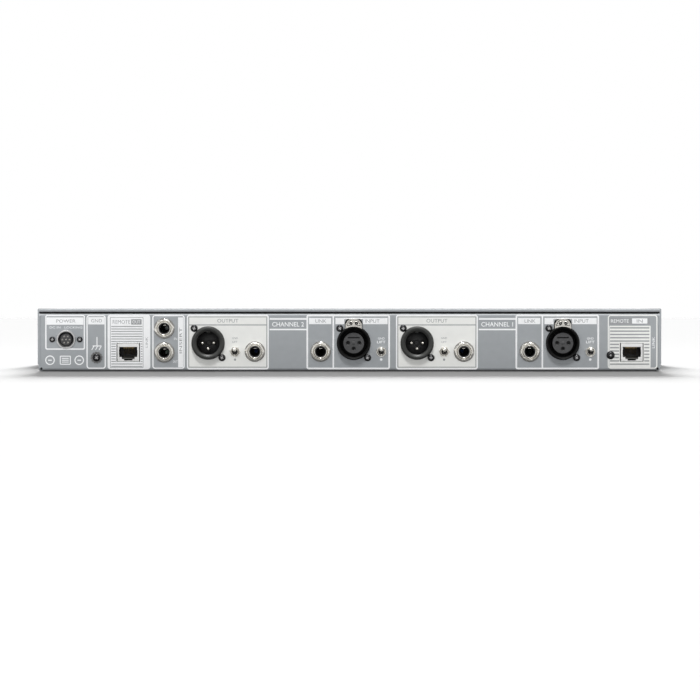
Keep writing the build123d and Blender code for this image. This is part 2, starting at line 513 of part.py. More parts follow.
for (channel, _), place in zip(CHANNELS, xlr_out_places):
    with BuildPart() as output_xlr_shell:
        xlr_barrel(place, XLR_OUT_RING)
        fillet(output_xlr_shell.faces().sort_by(Axis.Y)[0].edges(), 0.8)
        xlr_screw_threads(place)
        length = XLR_PROUD + XLR_BODY_LENGTH + 2 * BREAK
        round_feature(REAR.offset(XLR_PROUD + BREAK), [place], XLR_OUT_BORE, -length, Mode.SUBTRACT)
    save(output_xlr_shell, "output_xlr_shell_" + channel)

out_floor = REAR.offset(XLR_PROUD - XLR_OUT_DEPTH)
out_pins = [pin for place in xlr_out_places for pin in xlr_places(place, XLR_PIN_CIRCLE)]
INSERT_THICKNESS, PIN_TAIL = 5.0, 11.0
with BuildPart() as output_xlr_inserts:
    round_feature(out_floor, xlr_out_places, XLR_OUT_BORE, -INSERT_THICKNESS)
    length = INSERT_THICKNESS + 2 * BREAK
    round_feature(out_floor.offset(BREAK), out_pins, XLR_PIN, -length, Mode.SUBTRACT)
save(output_xlr_inserts, "output_xlr_inserts")

with BuildPart() as output_xlr_pins:
    round_feature(out_floor.offset(XLR_PIN_LENGTH), out_pins, XLR_PIN, -XLR_PIN_LENGTH - PIN_TAIL)
    fillet(output_xlr_pins.faces().sort_by(Axis.Y)[:6].edges(), 0.6)
save(output_xlr_pins, "output_xlr_pins")

for (channel, _), place in zip(CHANNELS, xlr_in_places):
    x, z = place
    gap = 2 * LATCH_CLEARANCE
    latch_middle = [(x, z + (LATCH_LOW + LATCH_HIGH) / 2)]
    with BuildPart() as input_xlr_shell:
        xlr_barrel(place, XLR_IN_RING)
        fillet(input_xlr_shell.faces().sort_by(Axis.Y)[0].edges(), 0.6)
        # An arched hood over the ring holds the latch.
        length = -(XLR_PROUD + XLR_BODY_LENGTH)
        hood = (2 * HOOD_HALF, HOOD_HIGH, HOOD_CORNER)
        rounded_feature(REAR.offset(XLR_PROUD), [(x, z + HOOD_HIGH / 2)], *hood, length)
        xlr_screw_threads(place)
        window = (2 * LATCH_HALF + gap, LATCH_HIGH - LATCH_LOW + gap, LATCH_CORNER + gap / 2)
        start = REAR.offset(XLR_PROUD + BREAK)
        rounded_feature(start, latch_middle, *window, length - 2 * BREAK, Mode.SUBTRACT)
        round_feature(start, [place], XLR_IN_BORE, -XLR_IN_DEPTH - BREAK, Mode.SUBTRACT)
        round_feature(REAR, [place], XLR_INSERT, -XLR_BODY_LENGTH - 2 * BREAK, Mode.SUBTRACT)
    save(input_xlr_shell, "input_xlr_shell_" + channel)

    with BuildPart() as latch:
        tab = (2 * LATCH_HALF, LATCH_HIGH - LATCH_LOW, LATCH_CORNER)
        rounded_feature(REAR.offset(LATCH_PROUD), latch_middle, *tab, -LATCH_PROUD - LATCH_LENGTH)
        fillet(latch.faces().sort_by(Axis.Y)[0].edges(), 0.7)
    save(latch, "input_xlr_latch_" + channel)

in_sockets = [pin for place in xlr_in_places for pin in xlr_places(place, XLR_PIN_CIRCLE)]
SOCKET_DEPTH, SLOT_DEPTH = 12.0, 3.0
in_face = REAR.offset(XLR_PROUD - INSERT_SUNK)
with BuildPart() as input_xlr_inserts:
    round_feature(in_face, xlr_in_places, XLR_INSERT, INSERT_SUNK - XLR_PROUD - XLR_BODY_LENGTH)
    round_feature(in_face, in_sockets, XLR_SOCKET, -SOCKET_DEPTH, Mode.SUBTRACT)
    slots = [(x, z + XLR_SLOT_RISE) for x, z in xlr_in_places]
    box_feature(in_face, slots, XLR_SLOT_WIDTH, XLR_SLOT_HEIGHT, -SLOT_DEPTH, Mode.SUBTRACT)
save(input_xlr_inserts, "input_xlr_inserts")


# ---------------------------------------------------------------- small screws on the rear wall
RECESS_DEPTH = 0.9


def cross_recess(plane, places, span):
    """A cross-shaped driver recess cut into screw heads."""
    box_feature(plane, places, span, span / 4, -RECESS_DEPTH, Mode.SUBTRACT)
    box_feature(plane, places, span / 4, span, -RECESS_DEPTH, Mode.SUBTRACT)


with BuildPart() as xlr_screws:
    round_feature(REAR, xlr_screw_places, XLR_SCREW_HEAD, XLR_SCREW_DOME)
    fillet(xlr_screws.faces().sort_by(Axis.Y)[:8].edges(), 0.7)
    round_feature(REAR, xlr_screw_places, THREAD, -SHEET - XLR_FLANGE_THICKNESS - 2)
    cross_recess(REAR.offset(XLR_SCREW_DOME), xlr_screw_places, XLR_SCREW_HEAD)
save(xlr_screws, "xlr_screws")

SOCKET_SCREW_HEAD, SOCKET_SCREW_DOME, SOCKET_SCREW_LENGTH = 2.1, 1.4, 3.0
with BuildPart() as power_socket_screws:
    round_feature(REAR, power_screw_places, SOCKET_SCREW_HEAD, SOCKET_SCREW_DOME)
    fillet(power_socket_screws.faces().sort_by(Axis.Y)[:2].edges(), 0.6)
    round_feature(REAR, power_screw_places, POWER_SCREW, -SHEET - SOCKET_SCREW_LENGTH)
    cross_recess(REAR.offset(SOCKET_SCREW_DOME), power_screw_places, SOCKET_SCREW_HEAD)
save(power_socket_screws, "power_socket_screws")

with BuildPart() as ground_washer:
    with BuildSketch(REAR):
        with Locations((GROUND_X, GROUND_Z)):
            Circle(GROUND_WASHER)
            with PolarLocations(GROUND_WASHER, 12):
                Rectangle(0.9, 0.8, mode=Mode.SUBTRACT)
            Circle(GROUND_SCREW + 0.05, mode=Mode.SUBTRACT)
    extrude(amount=GROUND_WASHER_HEIGHT)
save(ground_washer, "ground_washer")

GROUND_HEAD, GROUND_DOME, GROUND_RECESS, REAR_SCREW_LENGTH = 2.85, 2.0, 3.0, 8.0
ground_place = [(GROUND_X, GROUND_Z)]
with BuildPart() as ground_screw:
    ground_face = REAR.offset(GROUND_WASHER_HEIGHT)
    round_feature(ground_face, ground_place, GROUND_HEAD, GROUND_DOME)
    fillet(ground_screw.faces().sort_by(Axis.Y)[0].edges(), 0.9)
    round_feature(ground_face, ground_place, GROUND_SCREW, -GROUND_WASHER_HEIGHT - REAR_SCREW_LENGTH)
    cross_recess(ground_face.offset(GROUND_DOME), ground_place, GROUND_RECESS)
save(ground_screw, "ground_screw")

PORT_SCREW_HEAD, PORT_SCREW_DOME, PORT_SCREW_KEY = 2.95, 1.8, 1.1
port_screw_place = [(PORT_SCREW_X, PORT_SCREW_Z)]
with BuildPart() as network_in_screw:
    round_feature(REAR, port_screw_place, PORT_SCREW_HEAD, PORT_SCREW_DOME)
    fillet(network_in_screw.faces().sort_by(Axis.Y)[0].edges(), 1.1)
    round_feature(REAR, port_screw_place, PORT_SCREW, -REAR_SCREW_LENGTH)
    with BuildSketch(REAR.offset(PORT_SCREW_DOME)):
        with Locations(*port_screw_place):
            RegularPolygon(PORT_SCREW_KEY, 6)
    extrude(amount=-1.1, mode=Mode.SUBTRACT)
save(network_in_screw, "network_in_screw")

# ---------------------------------------------------------------- power socket
POWER_FLANGE_WIDTH, POWER_FLANGE_HEIGHT, POWER_FLANGE_THICKNESS = 25.0, 15.0, 1.8
POWER_FACE = REAR.offset(POWER_PROUD)
POWER_LENGTH = POWER_PROUD + SHEET + POWER_DEPTH
with BuildPart() as power_socket_shell:
    flange = (POWER_FLANGE_WIDTH, POWER_FLANGE_HEIGHT, -POWER_FLANGE_THICKNESS)
    round_feature(POWER_FACE, socket_place, POWER_RING, -POWER_LENGTH)
    box_feature(INNER_REAR, socket_place, *flange)
    length = POWER_LENGTH + 2 * BREAK
    round_feature(POWER_FACE.offset(BREAK), socket_place, POWER_BORE, -length, Mode.SUBTRACT)
    mouth = power_socket_shell.faces().sort_by(Axis.Y)[0]
    chamfer(mouth.edges().sort_by(SortBy.LENGTH)[0], POWER_RING - POWER_BORE - 0.3)
    depth = POWER_FLANGE_THICKNESS + 2 * BREAK
    round_feature(INNER_REAR.offset(BREAK), power_screw_places, POWER_SCREW, -depth, Mode.SUBTRACT)
save(power_socket_shell, "power_socket_shell")

# A round core with contact holes about a middle one stands in the socket, clear of its wall.
CORE_FACE = POWER_FACE.offset(-CORE_SUNK)
with BuildPart() as power_socket_insert:
    plug = -(SHEET + POWER_DEPTH - WELL_DEPTH)
    round_feature(CORE_FACE.offset(-WELL_DEPTH), socket_place, POWER_BORE, plug)
    round_feature(CORE_FACE, socket_place, POWER_CORE, -WELL_DEPTH - BREAK)
    with BuildSketch(CORE_FACE):
        with Locations(*socket_place):
            Circle(CONTACT_HOLE)
            with PolarLocations(CONTACT_CIRCLE, CONTACT_COUNT):
                Circle(CONTACT_HOLE)
    extrude(amount=-WELL_DEPTH - 2 * BREAK, mode=Mode.SUBTRACT)
save(power_socket_insert, "power_socket_insert")

# ---------------------------------------------------------------- network ports
PORT_PROUD, PORT_CAVITY = 0.6, 14.0
ports = {"network_out_shield": PORT_OUT_X, "network_in_shield": PORT_IN_X}
port_face = REAR.offset(PORT_PROUD)
inner = (PORT_WIDTH - 2 * PORT_SHIELD, PORT_HEIGHT - 2 * PORT_SHIELD)
for name, x in ports.items():
    with BuildPart() as shield:
        middle = [(x, PORT_MIDDLE)]
        box_feature(port_face, middle, PORT_WIDTH, PORT_HEIGHT, -PORT_DEPTH)
        box_feature(port_face.offset(-PORT_SHIELD), middle, *inner, -PORT_DEPTH, Mode.SUBTRACT)
        with BuildSketch(port_face.offset(BREAK)):
            port_profile(x)
        extrude(amount=-2 * BREAK, mode=Mode.SUBTRACT)
    save(shield, name)

with BuildPart() as network_inserts:
    middles = [(x, PORT_MIDDLE) for x in ports.values()]
    box_feature(port_face.offset(-PORT_SHIELD), middles, *inner, PORT_SHIELD - PORT_DEPTH)
    with BuildSketch(port_face.offset(BREAK)):
        for x in ports.values():
            port_profile(x)
    extrude(amount=-PORT_CAVITY, mode=Mode.SUBTRACT)
save(network_inserts, "network_inserts")

# ---------------------------------------------------------------- toggle switches
TOGGLE_BORE_LENGTH = 7.0
with BuildPart() as toggle_bodies:
    start, places = REAR.offset(TOGGLE_PROUD), toggle_places.values()
    round_feature(start, places, TOGGLE_BUSHING, -TOGGLE_PROUD - SHEET)
    box_feature(INNER_REAR, places, TOGGLE_BODY_WIDTH, TOGGLE_BODY_HEIGHT, -TOGGLE_BODY_DEPTH)
    round_feature(start, places, TOGGLE_BORE, -TOGGLE_BORE_LENGTH, Mode.SUBTRACT)
save(toggle_bodies, "toggle_bodies")

with BuildPart() as toggle_nuts:
    with BuildSketch(REAR):
        with Locations(*toggle_places.values()):
            RegularPolygon(TOGGLE_NUT_FLATS / 2, 6, major_radius=False)
            Circle(TOGGLE_BUSHING, mode=Mode.SUBTRACT)
    extrude(amount=TOGGLE_NUT_HEIGHT)
    for face in toggle_nuts.faces().sort_by(Axis.Y)[:4]:
        chamfer(face.outer_wire().edges(), 0.3)
save(toggle_nuts, "toggle_nuts")

# Each bat lever is a cone from its pivot to a rounded tip, thrown up by TOGGLE_TILT.
for name, (x, z) in toggle_places.items():
    pivot = Plane(origin=(x, -BODY_DEPTH / 2 - TOGGLE_PIVOT, z), x_dir=(1, 0, 0), z_dir=(0, -1, 0))
    thrown = pivot.rotated((-TOGGLE_TILT, 0, 0))
    with BuildPart() as lever:
        with BuildSketch(thrown.offset(-TOGGLE_REACH)):
            Circle(TOGGLE_ROOT)
        with BuildSketch(thrown.offset(TOGGLE_LENGTH)):
            Circle(TOGGLE_TIP)
        loft()
        fillet(lever.faces().sort_by(Axis.Y)[0].edges(), 1.0)
    save(lever, name)
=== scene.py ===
"""Studio view of a one-unit, two-channel microphone preamp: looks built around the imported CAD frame."""
import json
from math import cos, pi, radians, sin, tau

import bmesh
import bpy
from mathutils import Matrix, Vector
from mathutils.geometry import tessellate_polygon

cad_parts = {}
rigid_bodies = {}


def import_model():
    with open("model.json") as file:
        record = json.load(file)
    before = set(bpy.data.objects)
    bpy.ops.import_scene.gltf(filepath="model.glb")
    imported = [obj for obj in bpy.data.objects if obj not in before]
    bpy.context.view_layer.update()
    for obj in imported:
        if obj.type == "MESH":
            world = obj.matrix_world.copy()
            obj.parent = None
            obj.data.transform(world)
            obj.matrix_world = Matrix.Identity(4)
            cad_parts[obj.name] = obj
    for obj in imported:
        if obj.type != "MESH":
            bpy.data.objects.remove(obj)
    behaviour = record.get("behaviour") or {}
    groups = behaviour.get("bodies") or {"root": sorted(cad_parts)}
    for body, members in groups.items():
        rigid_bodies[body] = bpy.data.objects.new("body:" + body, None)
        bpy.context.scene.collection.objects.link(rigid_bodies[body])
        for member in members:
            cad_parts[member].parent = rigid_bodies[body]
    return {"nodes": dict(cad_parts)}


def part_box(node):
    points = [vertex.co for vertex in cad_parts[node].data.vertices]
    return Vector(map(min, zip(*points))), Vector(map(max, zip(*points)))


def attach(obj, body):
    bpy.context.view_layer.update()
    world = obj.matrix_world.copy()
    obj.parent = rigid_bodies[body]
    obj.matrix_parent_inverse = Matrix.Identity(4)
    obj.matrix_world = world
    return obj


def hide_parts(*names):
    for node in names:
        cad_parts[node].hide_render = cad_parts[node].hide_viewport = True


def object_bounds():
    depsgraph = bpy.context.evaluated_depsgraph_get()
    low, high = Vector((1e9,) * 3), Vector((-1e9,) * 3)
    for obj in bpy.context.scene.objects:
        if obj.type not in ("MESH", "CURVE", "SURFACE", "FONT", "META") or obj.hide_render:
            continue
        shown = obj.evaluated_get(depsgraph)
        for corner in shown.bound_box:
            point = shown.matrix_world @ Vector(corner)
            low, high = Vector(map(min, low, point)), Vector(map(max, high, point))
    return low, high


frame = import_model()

CAD_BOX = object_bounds()
NODES = frame["nodes"]
MM = 0.001
CASE = "case"
show = bpy.context.scene.collection.objects.link


# ---------------- places, read from the frame (mm)
def corners(node):
    """A node's lowest and highest corners."""
    return [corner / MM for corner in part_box(node)]


def plane(right, up, out, origin):
    """A drawing plane: local x, y and height in millimetres, as a matrix into metres."""
    columns = Matrix((right, up, out)).transposed().to_4x4()
    return Matrix.Translation(Vector(origin) * MM) @ columns @ Matrix.Scale(MM, 4)


def rear_centre(node, height_node=None):
    """A node's middle on the rear wall, its height from another node if one is given."""
    (low, high), (foot, head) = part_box(node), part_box(height_node or node)
    return (low.x + high.x) / 2 / MM, (foot.z + head.z) / 2 / MM


def front_centre(node):
    """A node's middle on the front panel, whose local x runs along -X."""
    x, z = rear_centre(node)
    return -x, z


def half_width(node):
    """Half a node's extent along X."""
    low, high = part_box(node)
    return (high.x - low.x) / 2 / MM


SHEET = 1.2
CASE_LOW, CASE_HIGH = corners("chassis_tray")
HALF_WIDTH, WALL_Y = CASE_HIGH.x, CASE_LOW.y
REAR = plane((1, 0, 0), (0, 0, 1), (0, -1, 0), (0, WALL_Y, 0))
FRONT = plane((-1, 0, 0), (0, 0, 1), (0, 1, 0), (0, corners("front_panel")[1].y, 0))
TOP = plane((1, 0, 0), (0, 1, 0), (0, 0, 1), (0, 0, corners("top_cover")[1].z))

CHANNELS = ("2", "1")
JACKS = ["upper_jack", "lower_jack"] + [kind + c for c in CHANNELS for kind in ("output_jack_", "link_jack_")]
TOGGLES = [kind + c for c in CHANNELS for kind in ("output_toggle_", "input_toggle_")]
KNOBS = ["gain_knob_1", "gain_knob_2", "level_knob_1", "level_knob_2", "phones_knob"]
BUTTONS = [kind + c for c in CHANNELS for kind in ("phantom_button_", "filter_button_")]
JACK_AT = {name: rear_centre(name) for name in JACKS}
TOGGLE_AT = {name: rear_centre(name, "toggle_bodies") for name in TOGGLES}
XLR_OUT_AT = {c: rear_centre("output_xlr_shell_" + c) for c in CHANNELS}
XLR_IN_AT = {c: rear_centre("input_xlr_shell_" + c, "input_xlr_inserts") for c in CHANNELS}
PORT_AT = {name: rear_centre(name + "_shield") for name in ("network_out", "network_in")}
POWER_AT = rear_centre("power_socket_insert")
GROUND_AT = rear_centre("ground_washer")
PORT_SCREW_AT = rear_centre("network_in_screw")


# ---------------- materials
def add(tree, kind, inputs, data_type=None):
    """A new shader node, its inputs set to values or linked to outputs."""
    node = tree.nodes.new(kind)
    if data_type:
        node.data_type = data_type
    for name, value in inputs.items():
        if isinstance(value, bpy.types.NodeSocket):
            tree.links.new(value, node.inputs[name])
        else:
            node.inputs[name].default_value = value
    return node


def blend(tree, factor, low, high):
    """Mix two colours."""
    return add(tree, "ShaderNodeMix", {"Factor": factor, "A": low, "B": high}, "RGBA").outputs["Result"]


def noise(tree, scale, detail, stretch=(1, 1, 1)):
    """Noise over the object's own coordinates, scale in features per metre."""
    where = tree.nodes.new("ShaderNodeTexCoord").outputs["Object"]
    placed = add(tree, "ShaderNodeMapping", {"Vector": where, "Scale": stretch}).outputs["Vector"]
    inputs = {"Vector": placed, "Scale": scale, "Detail": detail}
    return add(tree, "ShaderNodeTexNoise", inputs).outputs["Fac"]


def spread(tree, value, low, high):
    """Spread a noise value between two numbers."""
    ends = {"Value": value, "From Min": 0.3, "From Max": 0.7, "To Min": low, "To Max": high}
    return add(tree, "ShaderNodeMapRange", ends).outputs["Result"]


def shader_inputs(material):
    """The inputs of a material's main shader."""
    return material.node_tree.nodes["Principled BSDF"].inputs


def shader(color, metallic, roughness, coat=0.0):
    """A new material with the numbers that are even all over."""
    material = bpy.data.materials.new("look")
    material.use_nodes = True
    material.diffuse_color = (*color, 1)
    looks = {"Base Color": (*color, 1), "Metallic": metallic, "Roughness": roughness, "Coat Weight": coat}
    for key, value in looks.items():
        shader_inputs(material)[key].default_value = value
    return material


def surface(color, material, tones, patches, gloss, smudges, depth, grain):
    """Mottle a material's colour, vary its gloss and raise a grain on it, depth in millimetres."""
    tree = material.node_tree
    dark, light = ((*(min(channel * tone, 1.0) for channel in color), 1) for tone in tones)
    raised = {"Strength": 1.0, "Distance": depth * MM, "Height": noise(tree, *grain)}
    looks = {
        "Base Color": blend(tree, spread(tree, noise(tree, *patches), 0, 1), dark, light),
        "Roughness": spread(tree, noise(tree, *smudges), *gloss),
        "Normal": add(tree, "ShaderNodeBump", raised).outputs["Normal"],
    }
    for key, value in looks.items():
        tree.links.new(value, shader_inputs(material)[key])
    return material


def paint(color, roughness=0.42, grain=1800, depth=0.004, tone=0.025):
    """Powder coat or screen print: slight mottling, fine orange peel, roughness that wanders."""
    tones, gloss = (1 - tone, 1 + tone), (roughness - 0.05, roughness + 0.06)
    coat = shader(color, 0.0, roughness)
    return surface(color, coat, tones, (240, 3), gloss, (25, 6), depth, (grain, 2))


def metal(color, roughness=0.25, brushed=(1, 1, 1), grain=900, tone=0.08):
    """Plated or brushed metal: fine scratches along the long way of the stretch, smudged roughness."""
    tones, gloss = (1 - tone, 1 + tone / 2), (roughness * 0.75, roughness * 1.35)
    plating = shader(color, 1.0, roughness)
    return surface(color, plating, tones, (150, 5), gloss, (400, 5), 0.004, (grain, 3, brushed))


def plastic(color, roughness=0.45, grain=2500, depth=0.008, tone=0.15, coat=0.0):
    """Moulded plastic: fine spark-eroded grain and a little uneven gloss."""
    tones, gloss = (1 - tone, 1 + tone), (roughness - 0.06, roughness + 0.08)
    moulding = shader(color, 0.0, roughness, coat)
    return surface(color, moulding, tones, (90, 3), gloss, (300, 4), depth, (grain, 2))


GREY = (0.355, 0.375, 0.392)
LAMP_GLASS = (0.25, 600, 0.002, 0.05, 0.5)
# Finishes under the slot of the record that they go with, unless a piece names another.
FINISHES = {
    "grey_paint": {
        "grey_paint": paint(GREY),
        "print_white": paint((0.93, 0.94, 0.95), 0.5, 2200, 0.004, 0.015),
        "print_cream": paint((0.86, 0.865, 0.84), 0.5, 2200, 0.004, 0.015),
        "print_grey": paint((0.33, 0.34, 0.35), 0.5, 2200, 0.004, 0.03),
    },
    "panel_paint": {
        "panel_paint": paint(GREY, 0.38),
    },
    "nickel": {
        "nickel": metal((0.66, 0.635, 0.59), 0.15),
        "bright_nickel": metal((0.80, 0.78, 0.73), 0.13),
        # Dark nickel for the washers, painted shade round the foot of each nut.
        "dull_nickel": metal((0.30, 0.29, 0.27), 0.3),
        "satin_shell": metal((0.62, 0.62, 0.62), 0.4),
        "tin": metal((0.93, 0.93, 0.92), 0.42, (8, 1, 1), tone=0.03),
        "bright_steel": metal((0.74, 0.74, 0.73), 0.22),
    },
    "steel": {
        "steel": metal((0.58, 0.58, 0.58), 0.32, (1, 12, 1)),
        "dark_steel": metal((0.22, 0.22, 0.22), 0.35),
    },
    "black_metal": {
        "black_metal": plastic((0.028, 0.029, 0.027), 0.42, 1600, 0.01),
        "jet_metal": plastic((0.005, 0.005, 0.005), 0.5, 1600, 0.01),
    },
    "black_plastic": {
        "black_plastic": plastic((0.011, 0.011, 0.012), 0.4),
        "dark_insert": plastic((0.055, 0.055, 0.057), 0.45),
        "grey_moulding": plastic((0.045, 0.045, 0.047), 0.4),
        # Lighter grey for the painted reflection low in the network ports.
        "ramp_grey": plastic((0.16, 0.16, 0.15), 0.35),
    },
    "pin_metal": {
        "pin_metal": metal((0.86, 0.83, 0.76), 0.16),
        "gold": metal((0.85, 0.62, 0.28), 0.2),
    },
    "black_screw": {
        "black_screw": metal((0.045, 0.045, 0.047), 0.3, grain=1500, tone=0.2),
    },
    "black_foam": {
        "black_foam": plastic((0.006, 0.006, 0.007), 0.85, 900, 0.15),
        # Dark grey for the painted shade in the bend at the wall's foot.
        "seam_grey": plastic((0.05, 0.05, 0.052), 0.7, 900, 0.05),
    },
    "knob_black": {
        "knob": plastic((0.028, 0.028, 0.03), 0.38, 3000, 0.01),
        "spun_cap": metal((0.42, 0.42, 0.43), 0.3, grain=700),
    },
    "button_grey": {
        "button": plastic((0.70, 0.70, 0.68), 0.32, 3000, 0.004, 0.03, 0.2),
    },
    "window_dark": {
        "window": plastic((0.012, 0.012, 0.014), 0.12, 600, 0.002, 0.1, 0.5),
        "led_green": plastic((0.05, 0.32, 0.08), *LAMP_GLASS),
        "led_amber": plastic((0.55, 0.28, 0.04), *LAMP_GLASS),
        "led_red": plastic((0.45, 0.04, 0.03), *LAMP_GLASS),
    },
    "inside": {
        "board": plastic((0.02, 0.13, 0.05), 0.3, coat=0.3),
        "sleeve": plastic((0.03, 0.04, 0.12), 0.3),
        "aluminium": metal((0.75, 0.76, 0.77), 0.35, (1, 1, 14)),
        "ribbon": plastic((0.45, 0.45, 0.44), 0.5),
    },
}
MATERIALS = {finish: look for looks in FINISHES.values() for finish, look in looks.items()}
SLOT_OF = {finish: slot for slot, looks in FINISHES.items() for finish in looks}
for finish, look in MATERIALS.items():
    look.name = finish + "_look"
shader_inputs(MATERIALS["jet_metal"])["Specular IOR Level"].default_value = 0.2

# CAD nodes that stay visible as they are.
NODE_FINISH = {
    "grey_paint": ["chassis_tray", "top_cover"], "panel_paint": ["front_panel"],
    # The gasket's black foam is painted shade for the gap under the cover.
    "black_foam": ["cover_gasket"], "board": ["main_board", "front_board"], "nickel": ["board_standoffs"],
    "steel": ["board_screws", "power_module"], "sleeve": ["capacitors"], "aluminium": ["heat_sink"],
    "ribbon": ["ribbon_cable"], "black_plastic": ["control_bodies"],
}
for finish, names in NODE_FINISH.items():
    for name in names:
        slots = NODES[name].data.materials
        slots.clear()
        slots.append(MATERIALS[finish])

# ---------------- drawing tools
CURVE_STEPS, SLIM = 8, 1e-3
SHARP_ANGLE, WELD = radians(38), 1e-7
INK = 0.07


def polar(at, radius, angle):
    """The point at an angle and a distance from a centre."""
    return at[0] + radius * cos(angle), at[1] + radius * sin(angle)


def turned(at, steps, radius_at):
    """A closed outline whose radius follows a function of the angle."""
    angles = [tau * step / steps for step in range(steps)]
    return [polar(at, radius_at(angle), angle) for angle in angles]


def circle(at, radius, steps=48):
    """A ring of points."""
    return turned(at, steps, lambda angle: radius)


def arc(at, radius, first, last, steps=16):
    """Points along a circle from one angle in degrees to another."""
    turns = [radians(first + (last - first) * step / steps) for step in range(steps + 1)]
    return [polar(at, radius, turn) for turn in turns]


def rounded(left, bottom, right, top, radius=0.0):
    """A rectangle's outline with rounded corners, anticlockwise."""
    radius = max(min(radius, (right - left) / 2 - SLIM, (top - bottom) / 2 - SLIM), 0)
    if radius < SLIM:
        return [(left, bottom), (right, bottom), (right, top), (left, top)]
    inner = ((right - radius, bottom + radius, -90), (right - radius, top - radius, 0),
             (left + radius, top - radius, 90), (left + radius, bottom + radius, 180))
    return [point for x, y, start in inner for point in arc((x, y), radius, start, start + 90, CURVE_STEPS)]


def about(at, half, rise, radius=0.0):
    """A rounded rectangle about a centre, by half width and half height."""
    x, y = at
    return rounded(x - half, y - rise, x + half, y + rise, radius)


def scaled(outline, at, share):
    """An outline made larger or smaller about a centre."""
    return [tuple(middle + (far - middle) * share for far, middle in zip(point, at)) for point in outline]


class Piece:
    """One visual piece in millimetres, its heights counted from a lift over its drawing plane.

    It stands for a CAD node if one is given, and it becomes an object when all pieces are done.
    """

    drafts = []

    def __init__(self, name, finish, node=None, body=CASE, slot=None, on=REAR, lift=0.0):
        self.name, self.finish, self.node, self.body, self.on, self.lift = name, finish, node, body, on, lift
        self.drafts.append(self)
        self.slot = slot or SLOT_OF[finish]
        self.mesh = bmesh.new()

    def _ring(self, points, height):
        return [self.mesh.verts.new(self.on @ Vector((x, y, self.lift + height))) for x, y in points]

    def _wall(self, low, high):
        for i, start in enumerate(low):
            j = (i + 1) % len(low)
            self.mesh.faces.new((start, low[j], high[j], high[i]))

    def rings(self, layers, closed=False):
        """Skin between outlines, each (points, height); capped, or joined when closed."""
        loops = [self._ring(points, height) for points, height in layers]
        for low, high in zip(loops, loops[1:]):
            self._wall(low, high)
        if closed:
            self._wall(loops[-1], loops[0])
        else:
            self.mesh.faces.new(list(reversed(loops[0])))
            self.mesh.faces.new(loops[-1])

    def block(self, outline, low, high):
        """A solid of one outline between two heights."""
        self.rings([(outline, low), (outline, high)])

    def lathe(self, at, profile, steps=48, closed=False):
        """Turn a profile of (radius, height) about the plane's normal at a place."""
        self.rings([(circle(at, radius, steps), height) for radius, height in profile], closed)

    def flat(self, outline, low, high, holes=()):
        """A thin plate with holes, closed all round."""
        loops = [outline] + [list(reversed(hole)) for hole in holes]
        bottom = [self._ring(loop, low) for loop in loops]
        top = [self._ring(loop, high) for loop in loops]
        for low_loop, high_loop in zip(bottom, top):
            self._wall(low_loop, high_loop)
        low_all, high_all = sum(bottom, []), sum(top, [])
        for a, b, c in tessellate_polygon([[Vector((x, y, 0)) for x, y in loop] for loop in loops]):
            self.mesh.faces.new((high_all[a], high_all[b], high_all[c]))
            self.mesh.faces.new((low_all[c], low_all[b], low_all[a]))

    def words(self, text, x, y, high, width=None, height=INK, turn=0.0, weight=0.0):
        """Generic lettering about x, y, its capitals high millimetres tall."""
        curve = bpy.data.curves.new("lettering", "FONT")
        curve.body, curve.size, curve.extrude, curve.offset = text, 1.0, 0.5, weight
        curve.align_x, curve.align_y = "CENTER", "CENTER"
        curve.resolution_u = 3
        holder = bpy.data.objects.new("lettering", curve)
        show(holder)
        bpy.context.view_layer.update()
        flat = bpy.data.meshes.new_from_object(holder.evaluated_get(bpy.context.evaluated_depsgraph_get()))
        xs, ys = ([vert.co[axis] for vert in flat.vertices] for axis in (0, 1))
        grow_y = high / (max(ys) - min(ys))
        grow_x = grow_y if width is None else width / (max(xs) - min(xs))
        middle = Vector(((max(xs) + min(xs)) / 2, (max(ys) + min(ys)) / 2, 0))
        sized = Matrix.Diagonal((grow_x, grow_y, height, 1)) @ Matrix.Translation(-middle)
        placed = Matrix.Translation((x, y, height / 2)) @ Matrix.Rotation(radians(turn), 4, "Z")
        flat.transform(self.on @ placed @ sized)
        self.mesh.from_mesh(flat)
        bpy.data.objects.remove(holder)
        bpy.data.curves.remove(curve)
        bpy.data.meshes.remove(flat)

    def done(self):
        """Make the object, put it on its body and hide the CAD node it stands for."""
        bmesh.ops.remove_doubles(self.mesh, verts=self.mesh.verts, dist=WELD)
        bmesh.ops.recalc_face_normals(self.mesh, faces=self.mesh.faces)
        mesh = bpy.data.meshes.new(self.name)
        self.mesh.to_mesh(mesh)
        self.mesh.free()
        for polygon in mesh.polygons:
            polygon.use_smooth = True
        mesh.set_sharp_from_angle(angle=SHARP_ANGLE)
        mesh.materials.append(MATERIALS[self.finish])
        piece = bpy.data.objects.new(self.name, mesh)
        show(piece)
        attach(piece, self.body)
        if self.node:
            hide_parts(self.node)


# ---------------- printing on the rear wall
SUNK, FILL, LINE = -0.02, 0.03, 0.05
WHITE = Piece("rear_print_white", "print_white")
CREAM = Piece("rear_print_off_white", "print_cream")
DARK = Piece("rear_print_grey", "print_grey")
WORDS_WHITE = Piece("rear_legend_white", "print_white")
WORDS_DARK = Piece("rear_legend_grey", "print_grey")
white_words, dark_words = WORDS_WHITE.words, WORDS_DARK.words

JACK_HOLE, TOGGLE_HOLE, XLR_HOLE = 4.9, 2.6, 11.8
PORT_GAP, PORT_GAP_RISE = 8.3, 6.6


def fill(piece, left, bottom, right, top, radius=0.0, holes=(), height=LINE):
    """A printed area with openings for the connectors in it."""
    piece.flat(rounded(left, bottom, right, top, radius), SUNK, height, holes)


def outline(piece, left, bottom, right, top, radius, width, height=LINE):
    """A printed line just inside the given sides."""
    inner = rounded(left + width, bottom + width, right - width, top - width, max(radius - width, 0))
    piece.flat(rounded(left, bottom, right, top, radius), SUNK, height, [inner])


